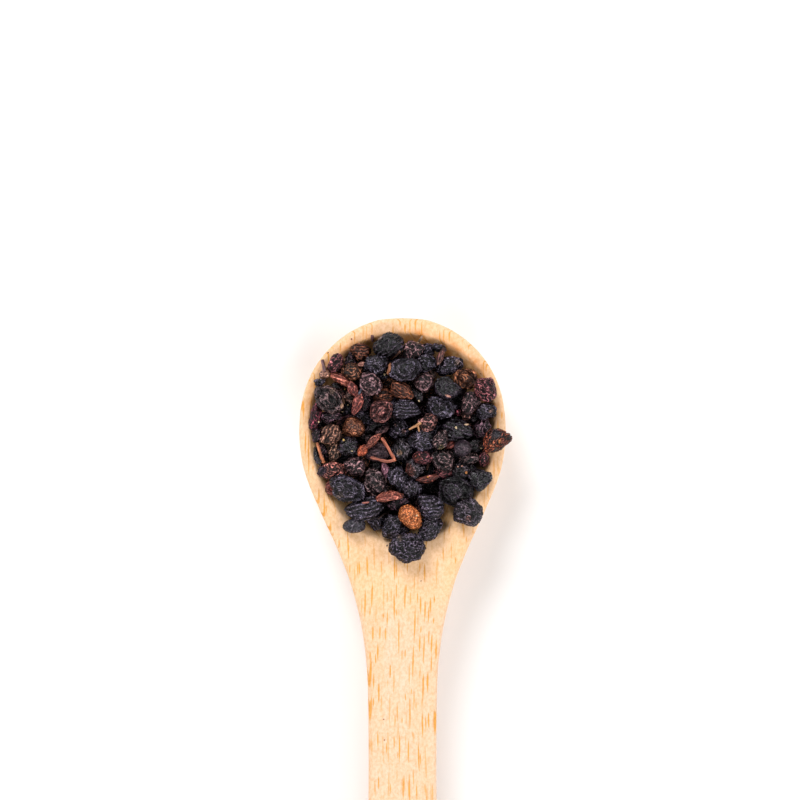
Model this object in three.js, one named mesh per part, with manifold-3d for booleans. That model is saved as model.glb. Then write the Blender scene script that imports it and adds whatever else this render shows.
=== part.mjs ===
// Wooden spoon heaped with dried elderberries.
//
// Frame: millimetres, +Z up. The origin is the centre of the flat under the bowl,
// where the spoon stands on the table. +Y runs towards the spoon's tip, the handle
// runs along -Y, and +X is to the right, seen from above.
//
// The spoon is carved from one piece of wood. Its bowl holds a heap of dried
// berries, each a shrivelled drupe about 3 to 5.5 mm long, with a few bits of the
// stalks that they grew on. Berries that stick together share one solid.

import * as THREE from 'three';
import { mergeVertices } from 'three/addons/utils/BufferGeometryUtils.js';
import Module from 'manifold-3d';

// ---- driving dimensions, mm ------------------------------------------------

const RIM_HEIGHT = 10.2;        // height of the bowl's rim over the table
const BOWL_DEPTH = 7.5;         // depth of the hollow at its middle
const BOWL_HALF_WIDTH = 14.6;   // half the hollow's width, for its arc
const HANDLE_THICKNESS = 4.2;
const RIM_THICKNESS = 2.3;      // thickness of the bowl's edge
const HANDLE_END_Y = -122;      // far end of the handle
const HANDLE_END_RADIUS = 5.8;  // rounding of the handle's end, seen from above
const BELLY_DEPTH = 8.9;        // how far the bowl's underside bulges below its edge
const TOP_EDGE_ROUND = 0.7;
const BOTTOM_EDGE_ROUND = 1.0;
const SPINE_TOP_Y = 2;          // the mesh fans out from this point of the bowl
const TOP_RINGS_HOLLOW = 5;     // rings of the mesh inside the rim
const TOP_RINGS_RIM = 1;
const BOTTOM_RINGS = 4;
const NECK_RADIUS = 0.45;       // where two berries stick together
const STALK_RADIUS = 0.22;
const TWIG_RADIUS = 0.17;

// Half the spoon's width at each Y, from the tip to the handle's end.
const OUTLINE = [
  [0, 17.81], [1.88, 17.72], [3.84, 17.5], [5.08, 17.11], [6.44, 16.56], [7.97, 15.78], [9.38, 14.84],
  [10.88, 13.59], [12.34, 12.03], [13.59, 10.31], [14.58, 8.44], [15.34, 6.41], [15.83, 4.22], [16.09, 1.88],
  [16.16, -0.47], [15.97, -2.81], [15.63, -5], [15.06, -7.03], [14.31, -9.06], [13.44, -11.09],
  [12.56, -13.13], [11.55, -15.31], [10.47, -17.66], [9.5, -20], [8.52, -22.5], [7.73, -25], [7.06, -27.5],
  [6.48, -30.16], [5.97, -33.28], [5.59, -36.88], [5.41, -41.09], [5.34, -46.56], [5.36, -62],
  [5.42, -80], [5.6, -98], [5.75, -110],
];
// Edge of the hollow: distance from the origin at each angle over +X, in degrees.
const HOLLOW = [
  [-90, 17.7], [-84.7, 17.62], [-78.3, 17.39], [-71, 17.02], [-63.2, 16.63], [-55.8, 16.24], [-48.5, 15.85],
  [-41, 15.48], [-33.2, 15.12], [-24.9, 14.82], [-16.7, 14.65], [-8, 14.58], [1.2, 14.63], [10.4, 14.77],
  [19.4, 15.04], [28, 15.29], [36.5, 15.51], [44.6, 15.58], [52.3, 15.6], [60.2, 15.57], [67.8, 15.52],
  [75.4, 15.5], [82.2, 15.49], [90, 15.47],
];
// Edge of the bulge under the bowl, in the same form.
const BULGE = [
  [-90, 25.86], [-87.6, 25.65], [-83.5, 24.85], [-78.2, 23.63], [-72.1, 22.16], [-65, 20.69], [-57, 19.37],
  [-48.6, 18.32], [-39.4, 17.49], [-29.4, 16.86], [-17.7, 16.41], [-1.7, 16.16], [14.9, 16.38], [30.1, 16.84],
  [44.3, 17.24], [57.7, 17.56], [68.8, 17.77], [77.6, 17.92], [90, 17.81],
];

// ---- the heap --------------------------------------------------------------

// Each berry: centre x, y, z, half its length, half its width, half its height,
// and the turn of its length over +X in degrees.
const BERRIES = [
  [-10.47, 10.69, 11.03, 1.63, 1.01, 1.18, 58],
  [-12.84, 7.79, 10.91, 0.96, 0.56, 0.87, 15],
  [-12.15, 9.02, 10.84, 0.77, 0.67, 0.87, 0],
  [-6.6, 12.6, 10.69, 1.48, 1.3, 1.27, 170],
  [-8.14, 11.15, 9.68, 1.19, 0.77, 0.88, 85],
  [-7.86, 9.38, 11.23, 1.52, 1.28, 1.29, 170],
  [-9.58, 9.66, 9.34, 0.9, 0.7, 0.92, 0],
  [-9.62, 8.18, 8.91, 1.65, 0.57, 0.67, 152],
  [-10.33, 7.14, 9.92, 0.84, 0.59, 0.92, 0],
  [-7.7, 6.71, 11.15, 1.02, 0.63, 0.7, 120],
  [-7.02, 4.53, 11.13, 1.57, 0.68, 0.79, 72],
  [-7.96, 5.54, 9.86, 1.16, 0.98, 0.98, 0],
  [-5.77, 4.99, 9.22, 1.59, 1.19, 1.26, 70],
  [-11.51, 5.12, 11.97, 2.3, 1.78, 1.83, 142],
  [-11.16, 2.41, 10.74, 1.64, 0.95, 1.14, 5],
  [-12.82, 1.72, 9.35, 1.14, 0.65, 0.89, 75],
  [-5.11, 7.51, 11.84, 1.75, 1.58, 1.53, 135],
  [-2.94, 5.61, 10.6, 1.84, 1.14, 1.33, 5],
  [-3.28, 3.34, 12.4, 1.75, 1.63, 1.55, 50],
  [-4.2, 10.54, 11.97, 1.72, 1.49, 1.47, 160],
  [-3.11, 8.95, 10.39, 0.89, 0.71, 0.97, 0],
  [-2.35, 13.55, 11.05, 2.31, 1.87, 1.84, 25],
  [1.55, 12.64, 10.48, 1.6, 1.44, 1.39, 10],
  [0.46, 9.69, 11.99, 2.32, 1.9, 1.91, 15],
  [3.8, 12.54, 9.25, 1.2, 1.02, 1.02, 80],
  [3.79, 10.65, 10.73, 1.29, 1.29, 1.19, 0],
  [3.34, 7.83, 11.07, 1.46, 1.35, 1.29, 10],
  [2.2, 5.72, 10.16, 1.09, 1.09, 1.01, 0],
  [4.46, 8.95, 9.53, 0.79, 0.69, 0.92, 90],
  [3.35, 9.45, 7.43, 1.77, 1.53, 1.58, 81],
  [-0.14, 6.44, 11.91, 1.87, 1.21, 1.38, 150],
  [0.54, 3.56, 11.85, 2.02, 1.46, 1.58, 172],
  [5.94, 11.78, 11.2, 1.39, 0.5, 0.58, 68],
  [5.71, 13.11, 10.06, 1.14, 0.62, 0.96, 170],
  [7.16, 10.36, 9.61, 2.13, 1.47, 1.63, 18],
  [9.87, 8.36, 10.36, 1.86, 1.64, 1.6, 170],
  [9.03, 6.83, 7.98, 0.99, 0.99, 0.92, 0],
  [13.09, 6.75, 11.67, 1.86, 1.7, 1.63, 135],
  [10.53, 4.57, 11.54, 1.69, 1.35, 1.39, 70],
  [6.71, 6.99, 11.54, 1.94, 1.55, 1.59, 145],
  [5.94, 3.78, 11.23, 2.14, 1.71, 1.76, 170],
  [8.64, 2.98, 10.53, 0.57, 0.53, 0.97, 0],
  [3.99, 1.48, 12.19, 1.44, 1.34, 1.28, 0],
  [13.18, 3.3, 10.98, 1.7, 1.18, 1.3, 5],
  [12.49, 0.45, 9.89, 1.68, 1.22, 1.32, 80],
  [9.95, 2.61, 10.19, 0.89, 0.71, 0.85, 110],
  [11.24, 2.26, 9.07, 0.97, 0.88, 0.9, 0],
  [8.14, 2.08, 8.65, 1.52, 1.3, 1.23, 133],
  [10.36, 0.46, 7.82, 1.69, 1.33, 1.2, 34],
  [8.59, 0.23, 11.05, 2.48, 1.52, 1.79, 168],
  [7.48, -2, 10.71, 0.93, 0.57, 0.97, 35],
  [7.69, -3.42, 9.15, 1.48, 1.17, 1.22, 147],
  [14.6, -1.42, 11.94, 2.05, 1.73, 1.73, 25],
  [9.36, -2.5, 12.14, 1.3, 1.23, 1.16, 0],
  [10.34, -4.05, 10.5, 1.6, 1.11, 1.22, 0],
  [12.67, -4.16, 9.98, 1.31, 0.79, 0.94, 85],
  [6, -1.24, 12.43, 1.43, 1.15, 1.18, 80],
  [3.06, -1.38, 11.58, 1.91, 1.6, 1.61, 10],
  [3.17, -3.92, 12.25, 1.39, 0.99, 1.08, 170],
  [6.39, -4.27, 11.48, 1.76, 1.54, 1.51, 145],
  [9.13, -6.03, 11.12, 1.28, 1.1, 1.09, 0],
  [12.14, -7.38, 11.34, 1.65, 1.54, 1.47, 0],
  [6.38, -6.19, 9.82, 1.35, 0.88, 1, 0],
  [8.15, -9.21, 9.91, 2.78, 2.41, 1.91, 172],
  [10.13, -12.59, 12.11, 2.2, 2.1, 1.91, 0],
  [-13.74, 2.46, 10.87, 2.08, 0.88, 1.25, 78],
  [-13.33, -0.53, 10.17, 1.18, 0.89, 0.97, 80],
  [-11.58, 1.06, 8.33, 1.09, 0.64, 0.84, 0],
  [-9.27, 1.77, 8.72, 1.56, 0.44, 0.51, 35],
  [-7.6, 0.75, 10.24, 1.61, 1.5, 1.43, 0],
  [-11.21, -0.45, 11.47, 1.59, 1.28, 1.31, 50],
  [-10.59, -2.9, 10.12, 1.67, 1.11, 1.25, 85],
  [-8.16, -2.37, 11.11, 1.58, 1.39, 1.36, 150],
  [-13.27, -3.7, 10.4, 1.5, 0.59, 0.95, 105],
  [-12.33, -3.12, 9.29, 1.41, 0.72, 0.94, 105],
  [-10.98, -6.02, 10.33, 2.12, 1.35, 1.56, 8],
  [-7.52, -5.44, 11.24, 1.54, 1.45, 1.37, 0],
  [-6.28, -2.83, 12.05, 0.87, 0.59, 0.63, 60],
  [-4.55, -1.39, 12.34, 1.51, 0.59, 0.69, 45],
  [-0.31, 0.56, 9.11, 1.73, 1.51, 1.49, 0],
  [-0.12, -2.65, 10.2, 1.67, 1.51, 1.46, 105],
  [-1.3, 1.82, 6.87, 1.35, 1.17, 1.21, 179],
  [-4.24, 0.84, 9.22, 1.85, 0.74, 1.08, 30],
  [-3.16, 0.29, 10.28, 1.23, 0.49, 0.85, 30],
  [-4.19, -3.08, 10.3, 1.91, 1.41, 1.51, 170],
  [-4.1, -5.37, 9.81, 0.94, 0.9, 0.95, 0],
  [-4.37, -8.11, 10.42, 2.07, 1.76, 1.76, 130],
  [-6.01, -4.95, 8.74, 1.34, 1.26, 1.09, 160],
  [1.8, -5.75, 10.89, 1.58, 1.42, 1.38, 160],
  [-2.73, -5.91, 10.52, 1.01, 0.58, 0.67, 100],
  [-0.77, -7.2, 11.04, 1.92, 1.35, 1.48, 100],
  [3.91, -7.26, 11.25, 1.7, 0.6, 0.7, 8],
  [1.58, -8.96, 10.88, 1.53, 1.28, 1.29, 60],
  [-1.34, -5.08, 8.69, 0.78, 0.6, 0.97, 0],
  [-11.09, -8.81, 10.29, 1.26, 0.87, 0.95, 120],
  [-8.38, -8.96, 12.14, 2.74, 1.83, 1.88, 162],
  [-6.08, -12.17, 11.22, 2.4, 1.53, 1.76, 5],
  [-7.56, -14.61, 11.32, 1.53, 1.02, 1.15, 5],
  [-2.15, -10.12, 11.58, 2.12, 0.74, 0.86, 8],
  [-0.71, -11.01, 9.8, 1.78, 1.28, 1.39, 10],
  [4.27, -11.46, 12.04, 2.1, 1.71, 1.74, 150],
  [4.26, -14.99, 11.12, 2.13, 1.74, 1.77, 30],
  [0.82, -17.86, 12.1, 2.56, 2.22, 1.91, 0],
  [1.17, -13.23, 12.51, 2.02, 1.68, 1.69, 125],
  [-1.29, -14.68, 10.18, 2.13, 1.8, 1.78, 40],
  [11.18, -2, 10.75, 1.04, 0.87, 0.87, 0],
  [-1.71, -1.83, 4.37, 1.8, 1.57, 1.36, 135],
  [-0.52, -10.66, 6.88, 1.76, 1.75, 1.53, 23],
  [1.71, -12.9, 8.38, 1.78, 1.59, 1.63, 6],
  [4.95, -11.78, 8.64, 1.77, 1.67, 1.51, 102],
  [-4.53, -7.69, 6.44, 1.85, 1.59, 1.58, 67],
  [-1.3, -7.53, 5.61, 1.76, 1.48, 1.52, 136],
  [0.93, -7.43, 8.54, 1.73, 1.59, 1.51, 46],
  [2.32, -7.37, 5.73, 1.93, 1.51, 1.54, 14],
  [-6.48, -4.89, 6.24, 1.94, 1.43, 1.39, 173],
  [-3.16, -4.8, 5.02, 1.69, 1.51, 1.33, 39],
  [4, -4.34, 5.27, 1.72, 1.68, 1.51, 98],
  [-8.07, -1.82, 6.63, 1.81, 1.53, 1.58, 91],
  [-5.17, -1.87, 5.18, 2.12, 1.66, 1.4, 92],
  [-6.71, 1.3, 5.78, 1.69, 1.5, 1.48, 18],
  [-5.67, -0.71, 7.59, 1.43, 1.23, 1.16, 125],
  [-9.68, -0.3, 8.56, 1.45, 1.2, 1.22, 178],
  [1.82, -1.84, 4.41, 1.73, 1.68, 1.39, 24],
  [-3.32, 1.74, 4.76, 2.04, 1.68, 1.53, 71],
  [0.11, 1.34, 4.43, 2.02, 1.7, 1.55, 80],
  [-2.24, 5.55, 5.25, 1.88, 1.46, 1.43, 56],
  [0.49, -1.6, 6.97, 2.05, 1.71, 1.38, 27],
  [2.88, -3.07, 8.81, 2, 1.72, 1.54, 38],
  [5.32, -1.23, 5.32, 1.99, 1.53, 1.49, 176],
  [-3.11, 4.22, 8.02, 2.08, 1.71, 1.55, 32],
  [0.68, 4.28, 8.32, 2.1, 1.76, 1.56, 94],
  [3.58, 1.73, 4.7, 1.86, 1.53, 1.42, 144],
  [-5.69, 4.41, 5.77, 1.97, 1.58, 1.42, 146],
  [-4.23, 7.67, 6.56, 1.78, 1.64, 1.53, 77],
  [1.04, 4.75, 4.94, 1.86, 1.46, 1.46, 138],
  [-3.8, 10.66, 8.27, 1.85, 1.65, 1.38, 67],
  [-0.86, 11.31, 7.98, 1.36, 1.3, 1.26, 64],
  [-6.76, 9.94, 8.39, 1.47, 1.33, 1.11, 104],
  [0.46, -4.8, 4.67, 1.89, 1.44, 1.36, 163],
  [-2.81, -1.25, 6.63, 1.42, 1.27, 1.11, 92],
  [-2.03, -3.95, 7.18, 1.28, 1.21, 1.08, 69],
  [0.57, -4.79, 7.2, 1.52, 1.24, 1.13, 34],
  [7.93, -5.83, 7.47, 1.8, 1.62, 1.59, 147],
  [8.34, -2.38, 6.74, 1.86, 1.64, 1.37, 45],
  [7.85, 0.9, 6.23, 1.67, 1.5, 1.36, 34],
  [6.17, 3.91, 5.87, 2.11, 1.69, 1.48, 75],
  [4.43, -8.88, 7.59, 1.56, 1.3, 1.18, 157],
  [2.14, 1.3, 7.57, 1.5, 1.18, 1.22, 84],
  [3.77, 5.7, 5.22, 1.59, 1.2, 1.08, 98],
  [4.18, -5.89, 7.72, 1.63, 1.19, 1.22, 68],
  [8.88, 4.62, 7.02, 1.48, 1.3, 1.19, 101],
  [3.16, 3.63, 6.64, 1.33, 1.18, 1.14, 21],
  [5.2, 0.92, 7.2, 1.56, 1.17, 1.14, 112],
  [10.47, -6.23, 9.11, 1.59, 1.26, 1.19, 126],
  [2.42, -10.38, 6.68, 1.63, 1.19, 1.2, 93],
  [5.45, -3.13, 7.33, 1.43, 1.19, 1.09, 88],
  [5.66, -7.21, 6.19, 1.37, 1.32, 1.07, 174],
  [1.79, 6.72, 6.7, 1.35, 1.14, 1.13, 73],
  [-0.84, 8.59, 6.48, 2.02, 1.64, 1.42, 140],
  [-2.26, 7.73, 8.79, 1.54, 1.33, 1.23, 10],
  [-5.82, 2.22, 8.09, 1.55, 1.14, 1.06, 142],
  [-8.48, 3.52, 6.58, 1.37, 1.31, 1.21, 111],
  [-3.17, -11.92, 7.63, 1.56, 1.29, 1.15, 122],
  [-4.12, -13.7, 9.17, 1.38, 1.15, 1.17, 123],
  [-5.54, -10.36, 7.66, 1.38, 1.24, 1.28, 15],
  [-9.5, 6.32, 8.07, 1.49, 1.19, 1.23, 134],
  [-7.23, 6.84, 6.8, 1.49, 1.21, 1.17, 35],
  [-9.49, -4.37, 7.77, 1.72, 1.23, 1.18, 4],
  [-2.16, -8.33, 8.05, 1.46, 1.29, 1.1, 16],
  [-7.61, -7.3, 7.26, 1.62, 1.34, 1.18, 144],
  [11.59, -2.28, 8.85, 1.47, 1.14, 1.03, 36],
];

// Each solid: name, finish, its berries, and which of them stick together.
const CLUMPS = [
  ['berry_trio_01', 'berry_red', [0, 1, 2], [[0, 2], [1, 2]]],
  ['berry_trio_02', 'berry_brown', [3, 4, 5], [[3, 4], [4, 5]]],
  ['berry_trio_05', 'berry_red', [6, 7, 8], [[6, 7], [7, 8]]],
  ['berry_four_07', 'berry_red', [9, 10, 11, 12], [[9, 11], [10, 12], [11, 12]]],
  ['berry_trio_09', 'berry_black', [13, 14, 15], [[13, 14], [14, 15]]],
  ['berry_trio_14', 'berry_red', [16, 17, 18], [[16, 17], [17, 18]]],
  ['berry_trio_15', 'berry_black', [19, 20, 21], [[19, 20], [19, 21]]],
  ['berry_four_18', 'berry_black', [22, 23, 24, 25], [[22, 24], [23, 25], [22, 23]]],
  ['berry_four_22', 'berry_purple', [26, 27, 28, 29], [[26, 28], [26, 27], [28, 29]]],
  ['berry_pair_23', 'berry_black', [30, 31], [[30, 31]]],
  ['berry_pair_27', 'berry_brown', [32, 33], [[32, 33]]],
  ['berry_pair_29', 'berry_black', [34, 35], [[34, 35]]],
  ['berry_31', 'berry_black', [36], []],
  ['berry_pair_32', 'berry_red', [37, 38], [[37, 38]]],
  ['berry_four_33', 'berry_black', [39, 40, 41, 42], [[40, 41], [39, 40], [40, 42]]],
  ['berry_pair_36', 'berry_black', [43, 44], [[43, 44]]],
  ['berry_four_37', 'berry_brown', [45, 46, 47, 48], [[47, 48], [45, 46], [46, 48]]],
  ['berry_trio_40', 'berry_black', [49, 50, 51], [[49, 50], [50, 51]]],
  ['berry_42', 'berry_orange', [52], []],
  ['berry_trio_43', 'berry_black', [53, 54, 55], [[53, 54], [54, 55]]],
  ['berry_trio_45', 'berry_black', [56, 57, 58], [[57, 58], [56, 57]]],
  ['berry_pair_46', 'berry_black', [59, 60], [[59, 60]]],
  ['berry_50', 'berry_black', [61], []],
  ['berry_trio_51', 'berry_black', [62, 63, 64], [[62, 63], [63, 64]]],
  ['berry_pair_52', 'berry_red', [65, 66], [[65, 66]]],
  ['berry_pair_55', 'berry_purple', [67, 68], [[67, 68]]],
  ['berry_57', 'berry_orange', [69], []],
  ['berry_trio_58', 'berry_black', [70, 71, 72], [[70, 71], [71, 72]]],
  ['berry_four_61', 'berry_brown', [73, 74, 75, 76], [[73, 75], [73, 74], [75, 76]]],
  ['berry_pair_64', 'berry_red', [77, 78], [[77, 78]]],
  ['berry_trio_68', 'berry_black', [79, 80, 81], [[79, 80], [79, 81]]],
  ['berry_pair_69', 'berry_black', [82, 83], [[82, 83]]],
  ['berry_four_74', 'berry_black', [84, 85, 86, 87], [[85, 86], [84, 85], [85, 87]]],
  ['berry_77', 'berry_red', [88], []],
  ['berry_79', 'berry_purple', [89], []],
  ['berry_trio_80', 'berry_black', [90, 91, 92], [[91, 92], [90, 92]]],
  ['berry_81', 'berry_black', [93], []],
  ['berry_pair_83', 'berry_black', [94, 95], [[94, 95]]],
  ['berry_pair_85', 'berry_black', [96, 97], [[96, 97]]],
  ['berry_pair_88', 'berry_red', [98, 99], [[98, 99]]],
  ['berry_trio_91', 'berry_black', [100, 101, 102], [[100, 101], [101, 102]]],
  ['berry_pair_92', 'berry_orange', [103, 104], [[103, 104]]],
  ['berry_99', 'berry_black', [105], []],
  ['lower_berries_1', 'berry_black', [106, 107, 108, 109, 110, 111, 112, 113, 114, 115, 116, 117, 118, 119, 120, 121], [[108, 109], [112, 113], [114, 118], [118, 119], [115, 118], [110, 114], [117, 118], [111, 113], [110, 111], [113, 116], [107, 111], [107, 108], [106, 115], [117, 120], [117, 121]]],
  ['lower_berries_2', 'berry_black', [122, 123, 124, 125, 126, 127, 128, 129, 130, 131, 132, 133, 134, 135, 136, 137], [[122, 126], [122, 124], [125, 129], [126, 127], [124, 134], [129, 132], [122, 128], [129, 130], [125, 133], [128, 131], [133, 135], [123, 124], [123, 132], [135, 137], [135, 136]]],
  ['middle_berries_1', 'berry_black', [138, 139, 140, 141], [[140, 141], [139, 140], [138, 141]]],
  ['middle_berries_2', 'berry_black', [142, 143, 144, 145, 146, 147, 148, 149, 150, 151, 152, 153, 154, 155, 156, 157], [[144, 145], [143, 144], [142, 143], [146, 156], [148, 151], [146, 154], [147, 151], [149, 156], [149, 155], [148, 157], [145, 150], [145, 148], [142, 156], [142, 153], [144, 152]]],
  ['middle_berries_3', 'berry_black', [158, 159], [[158, 159]]],
  ['middle_berries_4', 'berry_black', [160], []],
  ['middle_berries_5', 'berry_black', [161], []],
  ['middle_berries_6', 'berry_black', [162, 163, 164], [[162, 164], [162, 163]]],
  ['middle_berries_7', 'berry_black', [165, 166], [[165, 166]]],
  ['middle_berries_8', 'berry_black', [167], []],
  ['middle_berries_9', 'berry_black', [168], []],
  ['middle_berries_10', 'berry_black', [169], []],
  ['middle_berries_11', 'berry_black', [170], []],
];

// The centre lines of the stalk pieces that lie on the heap.
const BENT_STALK = [[-3.19, -0.91, 12.73], [-2.85, -1.46, 12.66], [-2.5, -2.01, 12.58], [-2.17, -2.57, 12.5], [-1.85, -3.14, 12.43], [-1.56, -3.71, 12.35], [-1.27, -4.29, 12.27], [-1.83, -4.49, 12.2], [-2.46, -4.57, 12.12], [-3.09, -4.42, 12.04], [-3.72, -4.27, 12.03], [-4.35, -4.11, 12.03], [-4.98, -3.94, 12.03]];
const SHORT_STALK = [[-13.3, -1.69, 10.99], [-13.08, -2.43, 11.22], [-12.85, -3.17, 11.46], [-12.61, -3.91, 11.38], [-12.37, -4.64, 10.94]];
const FORK_MAIN = [[1.09, 0.41, 12.53], [1.49, 0.65, 12.53], [1.9, 0.88, 12.53], [2.29, 1.14, 12.53], [2.69, 1.39, 13.23]];
const FORK_BRANCH = [[2.41, 1.11, 12.53], [2.49, 0.78, 12.64], [2.56, 0.44, 12.65], [2.6, 0.1, 12.65]];

// ---- finishes --------------------------------------------------------------

const FINISH = {
  wood: { color: 0xe9c48f, roughness: 0.62, metalness: 0 },
  berry_black: { color: 0x2a262b, roughness: 0.5, metalness: 0 },
  berry_purple: { color: 0x46303a, roughness: 0.55, metalness: 0 },
  berry_brown: { color: 0x5c3f2f, roughness: 0.6, metalness: 0 },
  berry_orange: { color: 0xa05a2e, roughness: 0.55, metalness: 0 },
  berry_red: { color: 0x6e3029, roughness: 0.6, metalness: 0 },
  stalk: { color: 0xa0603f, roughness: 0.7, metalness: 0 },
};
const finish = (name) => new THREE.MeshStandardMaterial({ name, ...FINISH[name] });

// ---- small functions -------------------------------------------------------

// A smooth curve through the points (xs, ys), flat at its two ends.
function curveThrough(xs, ys) {
  const n = xs.length;
  const slope = new Array(n).fill(0);
  for (let i = 1; i < n - 1; i++) {
    const h0 = xs[i] - xs[i - 1];
    const h1 = xs[i + 1] - xs[i];
    slope[i] = (((ys[i] - ys[i - 1]) / h0) * h1 + ((ys[i + 1] - ys[i]) / h1) * h0) / (h0 + h1);
  }
  return (x) => {
    let i = 0;
    while (i < n - 2 && x > xs[i + 1]) i++;
    const h = xs[i + 1] - xs[i];
    const t = Math.min(1, Math.max(0, (x - xs[i]) / h));
    const u = 1 - t;
    return (1 + 2 * t) * u * u * ys[i] + t * u * u * h * slope[i]
      + t * t * (3 - 2 * t) * ys[i + 1] + t * t * (t - 1) * h * slope[i + 1];
  };
}
const smoothMin = (a, b, k) => {
  const h = Math.max(k - Math.abs(a - b), 0) / k;
  return Math.min(a, b) - (h * h * k) / 4;
};
const smoothMax = (a, b, k) => -smoothMin(-a, -b, k);
const smoothStep = (t) => {
  const c = Math.min(1, Math.max(0, t));
  return c * c * (3 - 2 * c);
};

const hollowRadius = curveThrough(HOLLOW.map((p) => (p[0] * Math.PI) / 180), HOLLOW.map((p) => p[1]));
const bulgeRadius = curveThrough(BULGE.map((p) => (p[0] * Math.PI) / 180), BULGE.map((p) => p[1]));

// The plane of the rim, falling along the handle to its end.
const topPlane = (y) => HANDLE_THICKNESS
  + (RIM_HEIGHT - HANDLE_THICKNESS) * smoothStep((y - HANDLE_END_Y) / (-14 - HANDLE_END_Y));

const HOLLOW_ARC = (BOWL_HALF_WIDTH ** 2 + BOWL_DEPTH ** 2) / (2 * BOWL_DEPTH);
function topHeight(x, y) {
  const q = Math.hypot(x, y) / hollowRadius(Math.atan2(y, Math.abs(x)));
  const w = BOWL_HALF_WIDTH * Math.min(q, 1.19);
  const hollow = RIM_HEIGHT - (Math.sqrt(HOLLOW_ARC ** 2 - w * w) - (HOLLOW_ARC - BOWL_DEPTH))
    + Math.max(q - 1.19, 0) * 30;
  return smoothMin(topPlane(y), hollow, 0.9);
}

function bottomHeight(x, y) {
  const a = Math.atan2(y, Math.abs(x));
  const p = Math.hypot(x, y) / bulgeRadius(a);
  const power = 0.5 + 0.75 * smoothStep((-Math.sin(a) - 0.25) / 0.7);
  const belly = RIM_HEIGHT - RIM_THICKNESS
    - BELLY_DEPTH * Math.max(0, Math.min(1, 1 - p * p)) ** power;
  const plate = topPlane(y) - (RIM_THICKNESS
    + (HANDLE_THICKNESS - RIM_THICKNESS) * smoothStep((-3 - y) / 22));
  return Math.max(0, smoothMax(smoothMin(belly, plate, 1.2), 0, 0.35));
}

// A geometry with only its positions, each vertex once.
function closed(geometry) {
  const g = geometry.clone();
  g.deleteAttribute('normal');
  if (g.attributes.uv) g.deleteAttribute('uv');
  return mergeVertices(g, 1e-4);
}

// ---- the spoon -------------------------------------------------------------

// The outline from the tip down the right side to the handle's end. Its left
// side mirrors it.
function rightOutline() {
  const pts = OUTLINE.map(([w, y]) => new THREE.Vector2(w, y));
  for (let i = 0; i <= 6; i++) {
    const t = (i / 6) * (Math.PI / 2);
    pts.push(new THREE.Vector2(
      HANDLE_END_RADIUS * Math.cos(t),
      HANDLE_END_Y + HANDLE_END_RADIUS * (1 - Math.sin(t)),
    ));
  }
  pts[pts.length - 1].x = 0;
  return pts;
}

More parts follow.
